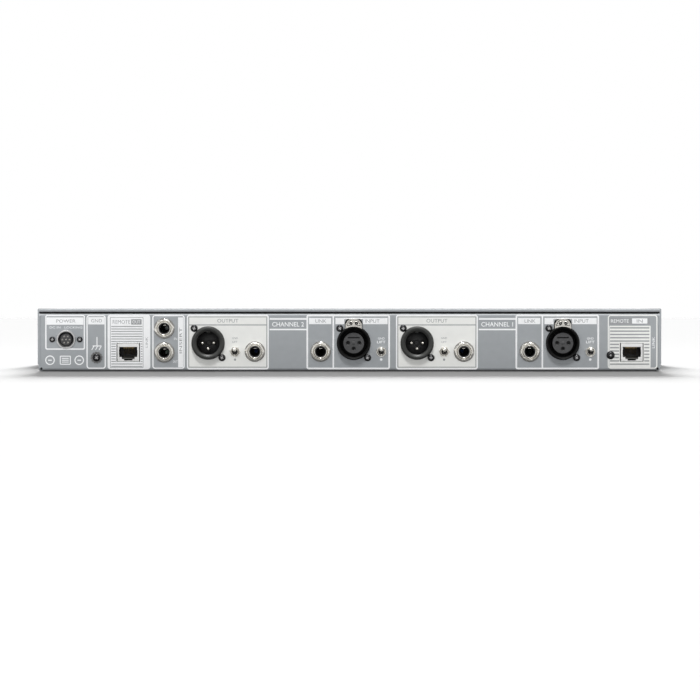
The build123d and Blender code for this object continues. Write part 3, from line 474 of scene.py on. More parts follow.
def power_block():
    x, z = POWER_AT
    left, right, bottom, top = x - 14.6, x + 13.4, z - 7.2, z + 17.3
    outline(WHITE, left, bottom, right, top, 1.4, 0.9)
    fill(WHITE, left + 1.0, z + 10.4, right - 1.1, top - 1.7)
    dark_words("POWER", x, z + 13.0, 2.3, 13.5)
    white_words("DC IN   LOCKING", x, z + 8.5, 1.5, 23)
    # Plain marks stand in the place of the maker's approval marks.
    level = bottom - 7.4
    for middle in (left + 3.3, x + 9.3):
        WORDS_WHITE.flat(circle((middle, level), 3.4, 40), SUNK, LINE, [circle((middle, level), 2.6, 40)])
        fill(WORDS_WHITE, middle - 1.3, level - 0.4, middle + 1.3, level + 0.4)
    box = (x - 4.4, level - 3.2, x + 3.4, level + 3.2)
    outline(WORDS_WHITE, *box, 0.8, 0.7)
    for rise in (-1.3, 0.0, 1.3):
        fill(WORDS_WHITE, box[0] + 1.5, level + rise - 0.3, box[2] - 1.5, level + rise + 0.3)


def ground_block():
    x, z = GROUND_AT
    left, right = x - 7.2, x + 6.5
    outline(WHITE, left, z - 8.0, right, z + 30.0, 2.2, 0.9)
    fill(WHITE, left + 1.2, z + 23.3, right - 1.0, z + 28.5)
    dark_words("GND", x, z + 25.9, 2.3, 7.6)
    # Chassis ground symbol: a stem, a bar and three slanted legs.
    fill(WHITE, x - 0.1, z + 8.4, x + 0.6, z + 14.5)
    fill(WHITE, x - 2.9, z + 7.8, x + 3.4, z + 8.5)
    for step in (-2.4, 0.2, 2.8):
        foot, head, half = x + step - 1.0, x + step + 0.4, 0.35
        leg = [(foot - half, z + 5.4), (foot + half, z + 5.4), (head + half, z + 7.9), (head - half, z + 7.9)]
        WHITE.flat(leg, SUNK, LINE)


def stripes(left, right, first, last, count, thick, port):
    """Evenly spaced lines that stop short of the port's cut-out."""
    x, z = port
    for step in range(count):
        level = first + (last - first) * step / (count - 1)
        low, high = level - thick / 2, level + thick / 2
        if z - PORT_GAP_RISE - 0.4 < level < z + PORT_GAP_RISE + 0.6:
            fill(DARK, left, low, x - PORT_GAP - 0.5, high)
            fill(DARK, x + PORT_GAP + 0.5, low, right, high)
        else:
            fill(DARK, left, low, right, high)


def network_out_block():
    x, z = port = PORT_AT["network_out"]
    fill(WHITE, x - 14.6, 1.5, x + 15.5, 40.0, 2.0, [about(port, PORT_GAP, PORT_GAP_RISE)], FILL)
    outline(DARK, x - 12.8, 2.5, x + 10.6, 38.2, 0.4, 0.35)
    dark_words("REMOTE", x - 4.8, 34.9, 2.6, 12.4)
    fill(DARK, x + 2.0, 33.0, x + 9.4, 36.8, 0.3)
    white_words("OUT", x + 5.7, 34.9, 2.2, 5.6, 0.1)
    stripes(x - 12.0, x + 9.9, 31.65, 3.5, 17, 0.65, port)
    dark_words("LINK", x + 13.0, 20.6, 1.7, 7.4, turn=90)


def network_in_block():
    x, z = port = PORT_AT["network_in"]
    left, right = x - 16.9, x + 18.1
    outline(CREAM, left, 1.9, right, 39.9, 2.2, 0.8, FILL)
    fill(CREAM, left + 1.1, 2.7, x + 13.3, 32.2, 0.4, [about(port, PORT_GAP, PORT_GAP_RISE)], FILL)
    fill(DARK, left + 1.2, 33.0, x + 12.8, 38.2, 0.2)
    white_words("REMOTE", x - 8.4, 35.5, 2.5, 12.6, 0.1)
    fill(WHITE, x + 0.2, 33.7, x + 11.0, 37.4, 0.3, height=0.08)
    dark_words("IN", x + 5.6, 35.5, 2.3, 4.2, 0.12)
    stripes(left + 1.6, x + 12.4, 30.7, 5.1, 12, 0.95, port)
    white_words("LINK", x + 15.3, 20.4, 1.8, 8.0, turn=90)


def insert_block():
    (x, low), (_, high) = JACK_AT["lower_jack"], JACK_AT["upper_jack"]
    outline(WHITE, x - 8.5, low - 11.6, x + 14.4, high + 9.6, 2.0, 0.9)
    fill(WHITE, x + 9.7, low - 10.4, x + 13.3, high + 7.9)
    dark_words("INSERT", x + 11.5, (low + high) / 2, 2.0, 18, turn=90)
    white_words("IN", x + 7.9, high - 7.2, 1.6, 2.2)
    white_words("OUT", x + 7.7, low - 6.4, 1.6, 3.2)


def output_block(channel):
    at, jack = XLR_OUT_AT[channel], JACK_AT["output_jack_" + channel]
    switch = TOGGLE_AT["output_toggle_" + channel]
    left, right = at[0] - 14.9, jack[0] + 9.8
    holes = [circle(at, XLR_HOLE), circle(jack, JACK_HOLE), circle(switch, TOGGLE_HOLE, 24)]
    fill(CREAM, left, 1.4, right, 40.0, 1.8, holes, FILL)
    outline(WHITE, left, 1.4, right, 40.0, 1.8, 0.8)
    outline(DARK, left + 1.0, 2.7, right - 1.1, 38.7, 0.3, 0.6, LINE + 0.01)
    fill(DARK, left + 1.4, 32.4, right - 1.5, 33.1)
    dark_words("OUTPUT", (left + right) / 2, 35.7, 2.6, 14.8)
    dark_words("GND", switch[0], 23.5, 1.35, 4.0)
    dark_words("LIFT", switch[0], 20.8, 1.35, 3.6)
    DARK.flat(circle((switch[0], 8.3), 0.8, 20), SUNK, LINE)


def channel_label(channel):
    left, right = JACK_AT["output_jack_" + channel][0] + 10.4, JACK_AT["link_jack_" + channel][0] - 10.0
    fill(WHITE, left, 36.4, right, 37.6)
    fill(WHITE, left, 29.0, right, 30.1)
    white_words("CHANNEL " + channel, (left + right) / 2, 33.2, 3.2, 22.4, weight=0.012)


def input_block(channel):
    link, x = JACK_AT["link_jack_" + channel][0], XLR_IN_AT[channel][0]
    switch = TOGGLE_AT["input_toggle_" + channel][0]
    left, divide, right, notch = link - 10.0, link + 8.4, switch + 6.2, 6.6
    outline(WHITE, left, 1.5, right, 40.0, 1.6, 1.2)
    fill(WHITE, divide, 2.71, divide + 1.1, 38.79)
    fill(WHITE, left + 1.8, 33.3, divide - 0.9, 37.7)
    dark_words("LINK", link + 0.2, 35.5, 2.3, 7.6)
    fill(WHITE, divide + 2.0, 33.3, x - notch, 37.7)
    fill(WHITE, x - notch, 36.9, x + notch, 37.7)
    fill(WHITE, x + notch, 33.3, right - 1.7, 37.7)
    dark_words("INPUT", switch - 6.3, 35.5, 2.4, 10.2)
    white_words("GND", switch, 23.2, 1.5, 4.6, weight=0.01)
    white_words("LIFT", switch, 20.7, 1.8, 6.0, weight=0.015)
    WHITE.flat(circle((switch, 8.4), 0.9, 20), SUNK, LINE)


power_block()
ground_block()
network_out_block()
network_in_block()
insert_block()
for channel in CHANNELS:
    output_block(channel)
    channel_label(channel)
    input_block(channel)

# ---------------- quarter-inch jacks
JACK_BORE, LINING, BUSHING, BUSHING_PROUD = 3.25, 3.9, 4.8, 3.1
THREAD_PITCH, THREAD_DEPTH = 0.7, 0.28
WASHER, WASHER_HEIGHT, NUT_FLATS, NUT_HEIGHT, NUT_CHAMFER, CHAMFER_STEPS = 7.2, 0.5, 12.7, 2.0, 0.75, 5
REAR_HOUSING, FRONT_HOUSING, HOUSING_HALF, HOUSING_RISE = 28.0, 14.5, 6.7, 6.3
PANEL_BACK = 4.2
NUT_TURNS = (54.0, 21.0, 6.0, 40.0, 13.0, 47.0, 27.0, 3.0, 34.0)


def hexagon(at, flats, limit, turn, steps=72):
    """A hexagon's outline cut back to a circle of the limit radius, for a chamfer."""
    def reach(angle):
        return min(flats / 2 / cos((angle + radians(turn)) % (pi / 3) - pi / 6), limit)

    return turned(at, steps, reach)


def nut(piece, at, flats, bore, height, turn):
    """A hexagonal nut with both the outer corners and the mouth chamfered."""
    corner = flats / 2 / cos(pi / 6)
    layers = [(hexagon(at, flats, corner * 1.01, turn), 0)]
    for share in (step / CHAMFER_STEPS for step in range(CHAMFER_STEPS + 1)):
        limit = corner * 1.005 - (corner - flats / 2 * 0.97) * share
        layers.append((hexagon(at, flats, limit, turn), height - NUT_CHAMFER * (1 - share)))
    mouth = ((bore + 0.45, height), (bore, height - 0.4), (bore, 0))
    piece.rings(layers + [(circle(at, radius, 72), level) for radius, level in mouth], closed=True)


def threaded(piece, at, radius, bore, base, tip, bore_depth, pitch=THREAD_PITCH, depth=THREAD_DEPTH):
    """A threaded bushing with a chamfered tip and a countersunk mouth."""
    lip = min(0.28, (radius - bore) / 3)
    profile = [
        (bore, tip - bore_depth), (bore, tip - lip), (bore + lip * 0.8, tip - lip * 0.15), (bore + lip, tip),
        (radius - lip, tip), (radius - lip * 0.4, tip - 0.25)]
    level = tip - 0.35
    while level - pitch > base:
        profile += [(radius, level), (radius, level - pitch * 0.15), (radius - depth, level - pitch * 0.5)]
        level -= pitch
    profile += [(radius, level), (radius, base), (bore + lip, base), (bore + lip, tip - bore_depth)]
    piece.lathe(at, profile, 56, closed=True)


def housing(piece, at, base, depth):
    """The moulded jack body behind the wall, and a dark sleeve that lines the metal mouth."""
    mouth = BUSHING_PROUD - 0.4
    piece.lathe(at, [
        (JACK_BORE, base), (JACK_BORE, mouth - 0.35), (JACK_BORE + 0.3, mouth), (LINING - 0.02, mouth),
        (LINING - 0.02, base)], closed=True)
    shell = about(at, HOUSING_HALF, HOUSING_RISE, 0.8)
    bore = circle(at, JACK_BORE, len(shell))
    first = len(bore) * 3 // 4
    bore = bore[first:] + bore[:first]
    pinch, end = scaled(bore, at, 0.4), base - depth
    inside = [(bore, base), (bore, end + 3), (pinch, end + 2.5), (pinch, end)]
    piece.rings([(shell, end), (shell, base)] + inside, closed=True)


def jack(name, at, turn, on, inside, bore_depth, housing_depth, node):
    """A whole jack, on a wall whose inner face is at the inside height."""
    bushing = Piece(name + "_bushing", "bright_nickel", node, on=on)
    threaded(bushing, at, BUSHING - 0.05, LINING, inside, BUSHING_PROUD, bore_depth)
    housing(Piece(name + "_housing", "black_plastic", slot="jack_body", on=on), at, inside, housing_depth)
    jack_nuts.on = jack_washers.on = on
    hole = BUSHING - 0.02
    jack_washers.lathe(at, [
        (hole, 0), (WASHER - 0.15, 0), (WASHER, 0.175), (WASHER - 0.12, 0.425), (WASHER - 0.4, WASHER_HEIGHT),
        (hole, 0.45)], 64, closed=True)
    nut(jack_nuts, at, NUT_FLATS, hole, NUT_HEIGHT, turn)


jack_nuts = Piece("jack_dress_nuts", "bright_nickel", "jack_nuts", lift=WASHER_HEIGHT)
# The washers' dark nickel is painted shade round the foot of each nut.
jack_washers = Piece("jack_washers", "dull_nickel")
for name, turn in zip(JACKS, NUT_TURNS):
    x, z = JACK_AT[name]
    jack(name, (x, z), turn, REAR, -SHEET, 4.2, REAR_HOUSING, name)
    # The bright spring that shows inside the mouth.
    spring = Piece(name + "_contact", "bright_nickel", lift=BUSHING_PROUD)
    leaf = rounded(x - 1.0, z + 2.2, x + 1.0, z + 2.45)
    spring.rings([(leaf, -12.0), (rounded(x - 0.6, z + 1.2, x + 0.6, z + 1.5), -9.0), (leaf, -6.0)])

# The front jacks share one node and so do the meters; their places follow from its two ends.
JACKS_LOW, JACKS_HIGH = corners("front_jacks")
METER_LOW, METER_HIGH = corners("meter_windows")
METER_HALF, METER_RISE = 5.4, 14.9
METER_AT = (-METER_HIGH.x + METER_HALF, -METER_LOW.x - METER_HALF)
METER_MIDDLE, JACK_LEVEL = (METER_LOW.z + METER_HIGH.z) / 2, (JACKS_LOW.z + JACKS_HIGH.z) / 2
FIRST_JACK, PHONES_JACK = -JACKS_HIGH.x + HOUSING_HALF, -JACKS_LOW.x - HOUSING_HALF
FRONT_JACKS = {
    "instrument_jack_1": (FIRST_JACK, JACK_LEVEL),
    "instrument_jack_2": (FIRST_JACK + (METER_AT[1] - METER_AT[0]), JACK_LEVEL),
    "phones_jack": (PHONES_JACK, JACK_LEVEL),
}
for (name, at), turn in zip(FRONT_JACKS.items(), NUT_TURNS[len(JACKS):]):
    jack(name, at, turn, FRONT, -PANEL_BACK, 7.2, FRONT_HOUSING, "front_jacks")

# ---------------- toggle switches
TOGGLE_BUSHING, TOGGLE_BORE, TOGGLE_PROUD = 2.45, 1.95, 4.0
TOGGLE_NUT_FLATS, TOGGLE_NUT_HEIGHT = 6.8, 1.6
TOGGLE_TURNS = (8.0, 22.0, 3.0, 15.0)
TOGGLE_TILT, TOGGLE_PIVOT = radians(12), 1.0
BAT = [
    (0.35, -1.35), (0.75, -1.2), (0.85, -0.6), (0.82, 1.2), (0.78, 3.0), (0.86, 4.6), (1.02, 6.2),
    (1.17, 7.4), (1.23, 8.2), (1.1, 8.75), (0.72, 8.95), (0.25, 9.0)]
BAT_OUT, BAT_RIGHT = Vector((0, -cos(TOGGLE_TILT), sin(TOGGLE_TILT))), Vector((1, 0, 0))

toggle_nuts = Piece("toggle_dress_nuts", "bright_nickel", "toggle_nuts")
toggle_bushings = Piece("toggle_bushings", "nickel", "toggle_bodies")
toggle_boxes = Piece("toggle_switch_bodies", "black_plastic", slot="jack_body")
for (name, at), turn in zip(TOGGLE_AT.items(), TOGGLE_TURNS):
    threaded(toggle_bushings, at, TOGGLE_BUSHING, TOGGLE_BORE, -SHEET, TOGGLE_PROUD, 5.2, 0.5, 0.18)
    nut(toggle_nuts, at, TOGGLE_NUT_FLATS, TOGGLE_BUSHING + 0.02, TOGGLE_NUT_HEIGHT, turn)
    toggle_boxes.block(about(at, 4.3, 6.2, 0.5), -SHEET - 10.0, -SHEET)
    pivot = (at[0], WALL_Y - TOGGLE_PIVOT, at[1])
    thrown = plane(BAT_RIGHT, BAT_OUT.cross(BAT_RIGHT), BAT_OUT, pivot)
    Piece(name + "_bat", "bright_nickel", name, name, on=thrown).lathe((0, 0), BAT, 32)

# ---------------- three-pin connectors, their shells' heights counted from the face
XLR_PROUD, BARREL, PIN_CIRCLE = 2.0, -22.0, 4.0
OUT_RING, OUT_BORE, OUT_DEPTH = 11.5, 8.2, 14.0
IN_RING, IN_BORE, IN_DEPTH, IN_INSERT = 11.7, 9.75, 15.0, 7.25
OUT_SHELL = [
    (OUT_BORE, -OUT_DEPTH - 5), (OUT_BORE, -0.85), (OUT_BORE + 0.25, -0.55), (OUT_BORE + 1.0, -0.25),
    (OUT_BORE + 1.2, -0.08), (OUT_BORE + 1.35, 0), (OUT_RING - 0.9, 0), (OUT_RING - 0.45, -0.1),
    (OUT_RING - 0.12, -0.4), (OUT_RING, -0.85), (OUT_RING, BARREL), (OUT_BORE + 0.5, BARREL)]
IN_SHELL = [
    (IN_BORE, -IN_DEPTH), (IN_BORE, -1.6), (10.4, -0.6), (10.75, -0.1), (10.95, 0), (11.2, -0.05),
    (11.5, -0.3), (IN_RING, -0.8), (IN_RING, BARREL), (IN_INSERT, BARREL), (IN_INSERT, -IN_DEPTH)]
PIN = [
    (0.7, -10.5), (1.18, -10.2), (1.2, 0), (1.2, 9.9), (1.1, 10.4), (0.85, 10.8), (0.5, 10.97), (0.15, 11.0)]


def contacts(at):
    """Left, right and bottom contact centres of a three-pin connector."""
    return [polar(at, PIN_CIRCLE, radians(angle)) for angle in (180, 0, 270)]


def connector_shell(kind, finish, channel, at, profile, key=None):
    """A turned shell with the square flange behind the wall, and a key that sets the plug's turn."""
    shell = Piece(f"{kind}_connector_shell_{channel}", finish, f"{kind}_xlr_shell_{channel}", lift=XLR_PROUD)
    shell.lathe(at, profile, 96, closed=True)
    edge, behind = about(at, 13.0, 12.7, 2.0), -SHEET - XLR_PROUD
    shell.flat(edge, behind - 2.2, behind - 0.01, [circle(at, 11.0, 40)])
    if key:
        shell.block(key, -OUT_DEPTH + 0.2, -1.6)


for channel in CHANNELS:
    x, z = at = XLR_OUT_AT[channel]
    root, tip = z + OUT_BORE + 0.3, z + OUT_BORE - 0.8
    key = [(x - 1.2, root), (x - 0.9, tip), (x + 0.9, tip), (x + 1.2, root)]
    connector_shell("output", "black_metal", channel, at, OUT_SHELL, key)
    connector_shell("input", "jet_metal", channel, XLR_IN_AT[channel], IN_SHELL)

INSERT_FACE, INSERT_THICK, INSERT_BACK = XLR_PROUD - 0.6, 5.0, -21.2
inserts = Piece("input_connector_inserts", "dark_insert", "input_xlr_inserts", lift=INSERT_FACE)
# Black wells in the insert's contact holes are painted shade where the metal contacts sit.
shade_wells = Piece("input_connector_contacts", "black_plastic", lift=INSERT_FACE)
for at in XLR_IN_AT.values():
    holes = [circle(pin, 1.55, 28) for pin in contacts(at)]
    latch_slot = about((at[0], at[1] + 3.8), 4.2, 0.45, 0.4)
    inserts.flat(circle(at, IN_INSERT, 72), -INSERT_THICK, 0, holes + [latch_slot])
    plug = IN_INSERT - 0.02
    inserts.lathe(at, [
        (plug, INSERT_BACK), (plug, -INSERT_THICK), (0.05, -INSERT_THICK), (0.05, INSERT_BACK)], 72, True)
    inserts.lathe(at, [(1.25, -0.02), (1.2, 0.18), (0.9, 0.3)], 28)
    for pin in contacts(at):
        shade_wells.lathe(pin, [(1.53, -4.9), (1.53, -0.8), (0.95, -1.0), (0.95, -4.9)], 24, closed=True)

OUT_FLOOR = XLR_PROUD - OUT_DEPTH
out_floors = Piece("output_connector_floors", "black_plastic", "output_xlr_inserts", lift=OUT_FLOOR)
out_pins = Piece("output_connector_pins", "pin_metal", "output_xlr_pins", lift=OUT_FLOOR)
for at in XLR_OUT_AT.values():
    dish = [(OUT_BORE, -5), (OUT_BORE, -0.3), (OUT_BORE - 0.8, 0), (2.0, 0), (1.6, 0.4), (0.4, 0.4)]
    out_floors.lathe(at, dish, 64)
    for pin in contacts(at):
        out_floors.lathe(pin, [(1.22, -0.1), (2.0, -0.1), (1.8, 0.7), (1.22, 0.8)], 32, closed=True)
        out_pins.lathe(pin, PIN, 32)

# ---------------- input latches, an outline being its foot, shoulder, top, half width and neck
LATCH_PROUD, LATCH_DEPTH = 4.2, 12.0
HOOD, WINDOW = (11.6, 13.6, 16.95, 5.7, 4.9), (12.1, 13.1, 16.4, 4.7, 4.0)
TAB, TAB_FACE = (12.5, 12.95, 16.08, 4.45, 3.75), (12.62, 12.85, 15.78, 4.1, 3.45)
ARCH_STEPS = 10
EYE_SIDE, EYE_RISE = 1.9, 14.0


def stepped_arch(at, foot, shoulder, top, half, neck):
    """An upright outline with slanted shoulders and an arched top on a narrower neck."""
    x, z = at
    spring = shoulder + 1.0
    turns = [pi * step / ARCH_STEPS for step in range(1, ARCH_STEPS)]
    arch = [(x + neck * cos(turn), z + spring + (top - spring) * sin(turn)) for turn in turns]
    right = [(x + half, z + foot), (x + half, z + shoulder), (x + neck, z + shoulder + 0.9)]
    return [(x - half, z + foot)] + right + arch + [(x - neck, z + shoulder + 0.9), (x - half, z + shoulder)]


for channel in CHANNELS:
    name = "input_xlr_latch_" + channel
    x, z = at = XLR_IN_AT[channel]
    tab = Piece("input_latch_tab_" + channel, "bright_nickel", name, name, "steel", lift=LATCH_PROUD)
    body, face = stepped_arch(at, *TAB), stepped_arch(at, *TAB_FACE)
    eyes = [(x + side * EYE_SIDE, z + EYE_RISE) for side in (-1, 1)]
    tab.flat(body, -1.1, -0.5, [circle(eye, 1.2, 32) for eye in eyes])
    tab.flat(face, -0.55, -0.35, [circle(eye, 1.15, 32) for eye in eyes])
    tab.block(body, -LATCH_DEPTH - LATCH_PROUD, -1.9)
    for eye in eyes:
        tab.lathe(eye, [(1.1, -0.5), (1.35, -0.3), (1.3, -0.1), (1.15, -0.05), (1.05, -0.3)], 32, closed=True)
        tab.lathe(eye, [(0.38, -1.95), (0.38, -1.1), (0.28, -0.9), (0.1, -0.85)], 20)
    nose = (x, z + 14.95)
    tab.rings([(about(nose, 0.75, 0.65, 0.4), -0.5), (about(nose, 0.45, 0.45, 0.3), 0)])
    # Black plastic behind the tab's two eyes is a painted dark reflection seen through them.
    eye_shade_backing = Piece("input_latch_backing_" + channel, "black_plastic", None, name, "steel", lift=LATCH_PROUD)
    eye_shade_backing.block(face, -1.9, -1.5)
    hood = Piece("input_latch_hood_" + channel, "nickel", slot="black_metal")
    edge = arc(at, HOOD[0], 120, 60) + stepped_arch(at, *HOOD)[2:]
    hood.flat(edge, -LATCH_DEPTH, XLR_PROUD - 0.05, [stepped_arch(at, *WINDOW)])
    # A bright nickel crescent between the ring and the hood's window is a painted highlight of the ring's
    # edge.
    spring = Piece("input_latch_spring_" + channel, "bright_nickel", slot="steel")
    crescent = arc(at, IN_RING + 0.02, 113, 67) + arc(at, WINDOW[0] + 0.3, 67, 113)
    spring.flat(crescent, XLR_PROUD - 1.2, XLR_PROUD + 0.1)


# ---------------- screws on the rear wall
XLR_SCREW_X, XLR_SCREW_Z, SOCKET_SCREW_X = 9.8, 10.35, 9.65
TEETH_STEPS, TOOTH, TOOTH_SHARE, TEETH_HEIGHT = 96, 8, 5, 0.7


def cross(at, span, turn):
    """The outline of a cross recess."""
    half, arm = span / 2, span / 6.4
    points = []
    for angle in (radians(turn + 90 * quarter) for quarter in range(4)):
        c, s = cos(angle), sin(angle)
        points += [(at[0] + x * c - y * s, at[1] + x * s + y * c)
                   for x, y in ((half, -arm), (half, arm), (arm, arm))]
    return points


def domed_screw(piece, at, recess, head, dome, crown, shank, length):
    """A domed screw head with a cut driver recess, and its shank through the wall."""
    piece.lathe(at, [
        (crown, 0), (head - 0.12, 0), (head, dome * 0.15), (head * 0.97, dome * 0.4),
        (head * 0.9, dome * 0.65), (head * 0.76, dome * 0.88), (crown, dome)], closed=True)
    piece.flat(circle(at, crown), dome * 0.4, dome, [recess])
    piece.flat(circle(at, crown), 0, dome * 0.4)
    piece.lathe(at, [(shank * 0.6, -length), (shank, 0.7 - length), (shank, 0)], 24)


def bare_recess(at, recess, level):
    """Bright steel in the floor of a driver recess, a painted highlight for the glints in the recess."""
    recess_glint_plates.flat(scaled(recess, at, 0.8), level - 0.3, level)


def cross_screw(piece, at, span, turn, level, *sizes):
    """A domed screw whose cross recess holds a painted highlight of bright steel at its floor's level."""
    recess = cross(at, span, turn)
    domed_screw(piece, at, recess, *sizes)
    bare_recess(at, recess, level)


# Bright steel plates in the screw recesses are painted highlights.
recess_glint_plates = Piece("screw_recess_floors", "steel")
connector_screws = Piece("connector_screws", "black_screw", "xlr_screws")
for number, (x, z) in enumerate(list(XLR_OUT_AT.values()) + list(XLR_IN_AT.values())):
    for side in (-1, 1):
        at, turn = (x + side * XLR_SCREW_X, z - side * XLR_SCREW_Z), 17 + 29 * number + 40 * side
        cross_screw(connector_screws, at, 2.7, turn, 1.0, 2.55, 1.7, 1.5, 1.4, 5.4)

socket_screws = Piece("power_socket_cross_screws", "black_screw", "power_socket_screws")
for side in (-1, 1):
    at = (POWER_AT[0] + side * SOCKET_SCREW_X, POWER_AT[1])
    cross_screw(socket_screws, at, 2.2, 20 + 30 * side, 0.75, 2.1, 1.4, 1.22, 1.1, 4.2)

washer_teeth = Piece("ground_tooth_washer", "dark_steel", "ground_washer")
teeth = [polar(GROUND_AT, 4.2 if step % TOOTH < TOOTH_SHARE else 3.75, tau * step / TEETH_STEPS)
         for step in range(TEETH_STEPS)]
washer_teeth.flat(teeth, 0.0, TEETH_HEIGHT, [circle(GROUND_AT, 1.8, 32)])
ground_stud = Piece("ground_cross_screw", "black_screw", "ground_screw", lift=TEETH_HEIGHT)
cross_screw(ground_stud, GROUND_AT, 3.1, 38, 1.7, 2.85, 2.0, 1.72, 1.74, 8.7)

port_stud = Piece("network_in_socket_screw", "black_screw", "network_in_screw")
domed_screw(port_stud, PORT_SCREW_AT, hexagon(PORT_SCREW_AT, 1.95, 2.0, 12, 48), 2.95, 1.8, 1.55, 1.5, 8.0)
# A painted highlight of bright steel in the socket screw's recess.
bare_recess(PORT_SCREW_AT, circle(PORT_SCREW_AT, 0.8, 24), 1.0)

# ---------------- power socket
POWER_FACE, CORE_FACE, POWER_LENGTH, POWER_BORE, POWER_CORE, WELL = 1.0, 0.4, 11.2, 5.1, 3.9, 4.0
funnel = Piece("power_socket_funnel", "satin_shell", "power_socket_shell", lift=POWER_FACE)
back = -POWER_LENGTH - POWER_FACE
funnel.lathe(POWER_AT, [
    (POWER_BORE, back), (POWER_BORE, -1.5), (POWER_BORE + 0.12, -1.25), (5.5, -0.3), (5.65, -0.02),
    (6.45, -0.02), (6.7, -0.3), (6.7, back)], 72, closed=True)
bracket, behind = about(POWER_AT, 12.5, 7.5, 1.5), -SHEET - POWER_FACE
funnel.flat(bracket, behind - 1.8, behind - 0.01, [circle(POWER_AT, 6.6, 40)])
CORE_PLACES = [POWER_AT] + circle(POWER_AT, 2.5, 6)
core = Piece("power_socket_core", "grey_moulding", "power_socket_insert", lift=CORE_FACE)
core_holes = [circle(place, 0.5, 16) for place in CORE_PLACES]
core.flat(circle(POWER_AT, POWER_CORE - 0.15, 56), -0.2, 0, core_holes)
core.flat(circle(POWER_AT, POWER_CORE, 56), -WELL, -0.15, core_holes)
tubes = Piece("power_socket_contacts", "pin_metal", lift=CORE_FACE)
for place in CORE_PLACES:
    tubes.lathe(place, [(0.25, -3.4), (0.25, -0.15), (0.48, -0.1), (0.48, -3.4)], 16, closed=True)
rim, end = POWER_BORE - 0.02, CORE_FACE - WELL
well = [(4.2, -POWER_LENGTH), (rim, -POWER_LENGTH + 0.5), (rim, end), (1.0, end)]
Piece("power_socket_well", "black_plastic").lathe(POWER_AT, well)

# ---------------- network ports
PORT_HALF, PORT_RISE, PORT_PROUD, PORT_LENGTH, PORT_SHELL, PORT_FLOOR = 7.65, 6.3, 0.6, 15.4, 0.3, -13.4
CONTACT_PITCH, CONTACT_COUNT, CONTACT_HALF = 1.02, 8, 0.17
MOUTH = ((3.0, -5.8), (3.0, -4.85), (4.5, -4.85), (4.5, -3.35), (6.5, -3.35), (6.5, 3.8))


def port_mouth(x, z):
    """The stepped opening of a port, its key at the bottom."""
    return [(x + dx, z + dz) for dx, dz in MOUTH] + [(x - dx, z + dz) for dx, dz in reversed(MOUTH)]


for name, (x, z) in PORT_AT.items():
    outside = about((x, z), PORT_HALF, PORT_RISE, 0.35)
    inside = about((x, z), PORT_HALF - PORT_SHELL, PORT_RISE - PORT_SHELL, 0.2)
    can = Piece(name + "_can", "tin", name + "_shield")
    can.flat(outside, PORT_PROUD - PORT_SHELL, PORT_PROUD, [port_mouth(x, z)])
    can.rings([(outside, -PORT_LENGTH), (outside, 0.3), (inside, 0.3), (inside, -PORT_LENGTH)], closed=True)
    # Sprung fingers pressed out of the can touch the edge of the wall.
    for side in (-1, 1):
        for rise in (-2.6, 2.6):
            finger = about((x + side * (PORT_HALF - 0.95), z + rise), 0.4, 1.1, 0.3)
            can.block(finger, PORT_PROUD - 0.1, PORT_PROUD - 0.02)
    wires = Piece(name + "_contacts", "gold")
    for step in range(CONTACT_COUNT):
        left = x + (step - (CONTACT_COUNT - 1) / 2) * CONTACT_PITCH - CONTACT_HALF
        right = left + 2 * CONTACT_HALF
        lower, upper = rounded(left, z - 1.7, right, z - 1.3), rounded(left, z + 2.9, right, z + 3.3)
        wires.rings([(lower, -11.5), (upper, -4.5)])
# Grey ramps low in each mouth are a painted reflection of the floor on the contacts.
reflection_ramps = Piece("network_port_ramps", "ramp_grey")
port_blocks = Piece("network_port_mouldings", "black_plastic", "network_inserts")
for x, z in PORT_AT.values():
    block = about((x, z), PORT_HALF - 0.35, PORT_RISE - 0.35)
    port_blocks.flat(block, PORT_FLOOR, PORT_PROUD - PORT_SHELL - 0.03, [port_mouth(x, z)])
    port_blocks.flat(block, -PORT_LENGTH + 0.1, PORT_FLOOR)
    back, front = (rounded(x - 4.4, z - 4.8, x + 4.4, z + top) for top in (-2.6, -4.2))
    reflection_ramps.rings([(back, -12.0), (front, -4.0)])

# A dark strip in the bend between the wall and the floor plate is painted shade along the wall's bottom edge.
bottom_shade_strip = Piece("floor_plate_seam", "seam_grey")
shade_half = HALF_WIDTH - 2.6
section = rounded(-shade_half, 0.03, shade_half, 1.2)
bottom_shade_strip.rings([(section, -2.2), (section, -0.45), (rounded(-shade_half, 0.2, shade_half, 1.05), -0.4)])
# Dark plugs in the bend reliefs at the wall's lower corners are painted shade inside the holes.
relief_shade_plugs = Piece("bend_relief_plugs", "black_foam")
for side in (-1, 1):
    relief_shade_plugs.lathe((side * (HALF_WIDTH - 1.9), 2.1), [(0.95, -1.0), (0.95, -0.05), (0.7, 0.0)], 24)

# ---------------- front controls
KNOB_GAP, KNOB_HEIGHT, FLUTES, KNOB_STEPS, GRIP_INSET = 0.6, 14.0, 18, 144, 1.7
# How far in from the edge, how high and how deeply fluted each ring of a knob is.
KNOB_RINGS = (
    (0.25, 0, 0), (0.02, 0.3, 0), (0.02, 1.2, 0), (0.5, 1.9, 0), (1.6, 2.0, 0), (1.7, 2.5, 0.55),
    (2.15, 12.6, 0.55), (2.45, 13.5, 0.3), (3.0, 13.88, 0), (3.6, 13.88, 0), (3.8, 13.5, 0))
KNOB_AT = {name: front_centre(name) for name in KNOBS}


def fluted(at, radius, dip):
    """A circle with shallow rounded flutes round it."""
    return turned(at, KNOB_STEPS, lambda angle: radius - dip * max(0.0, sin(angle * FLUTES)) ** 0.6)


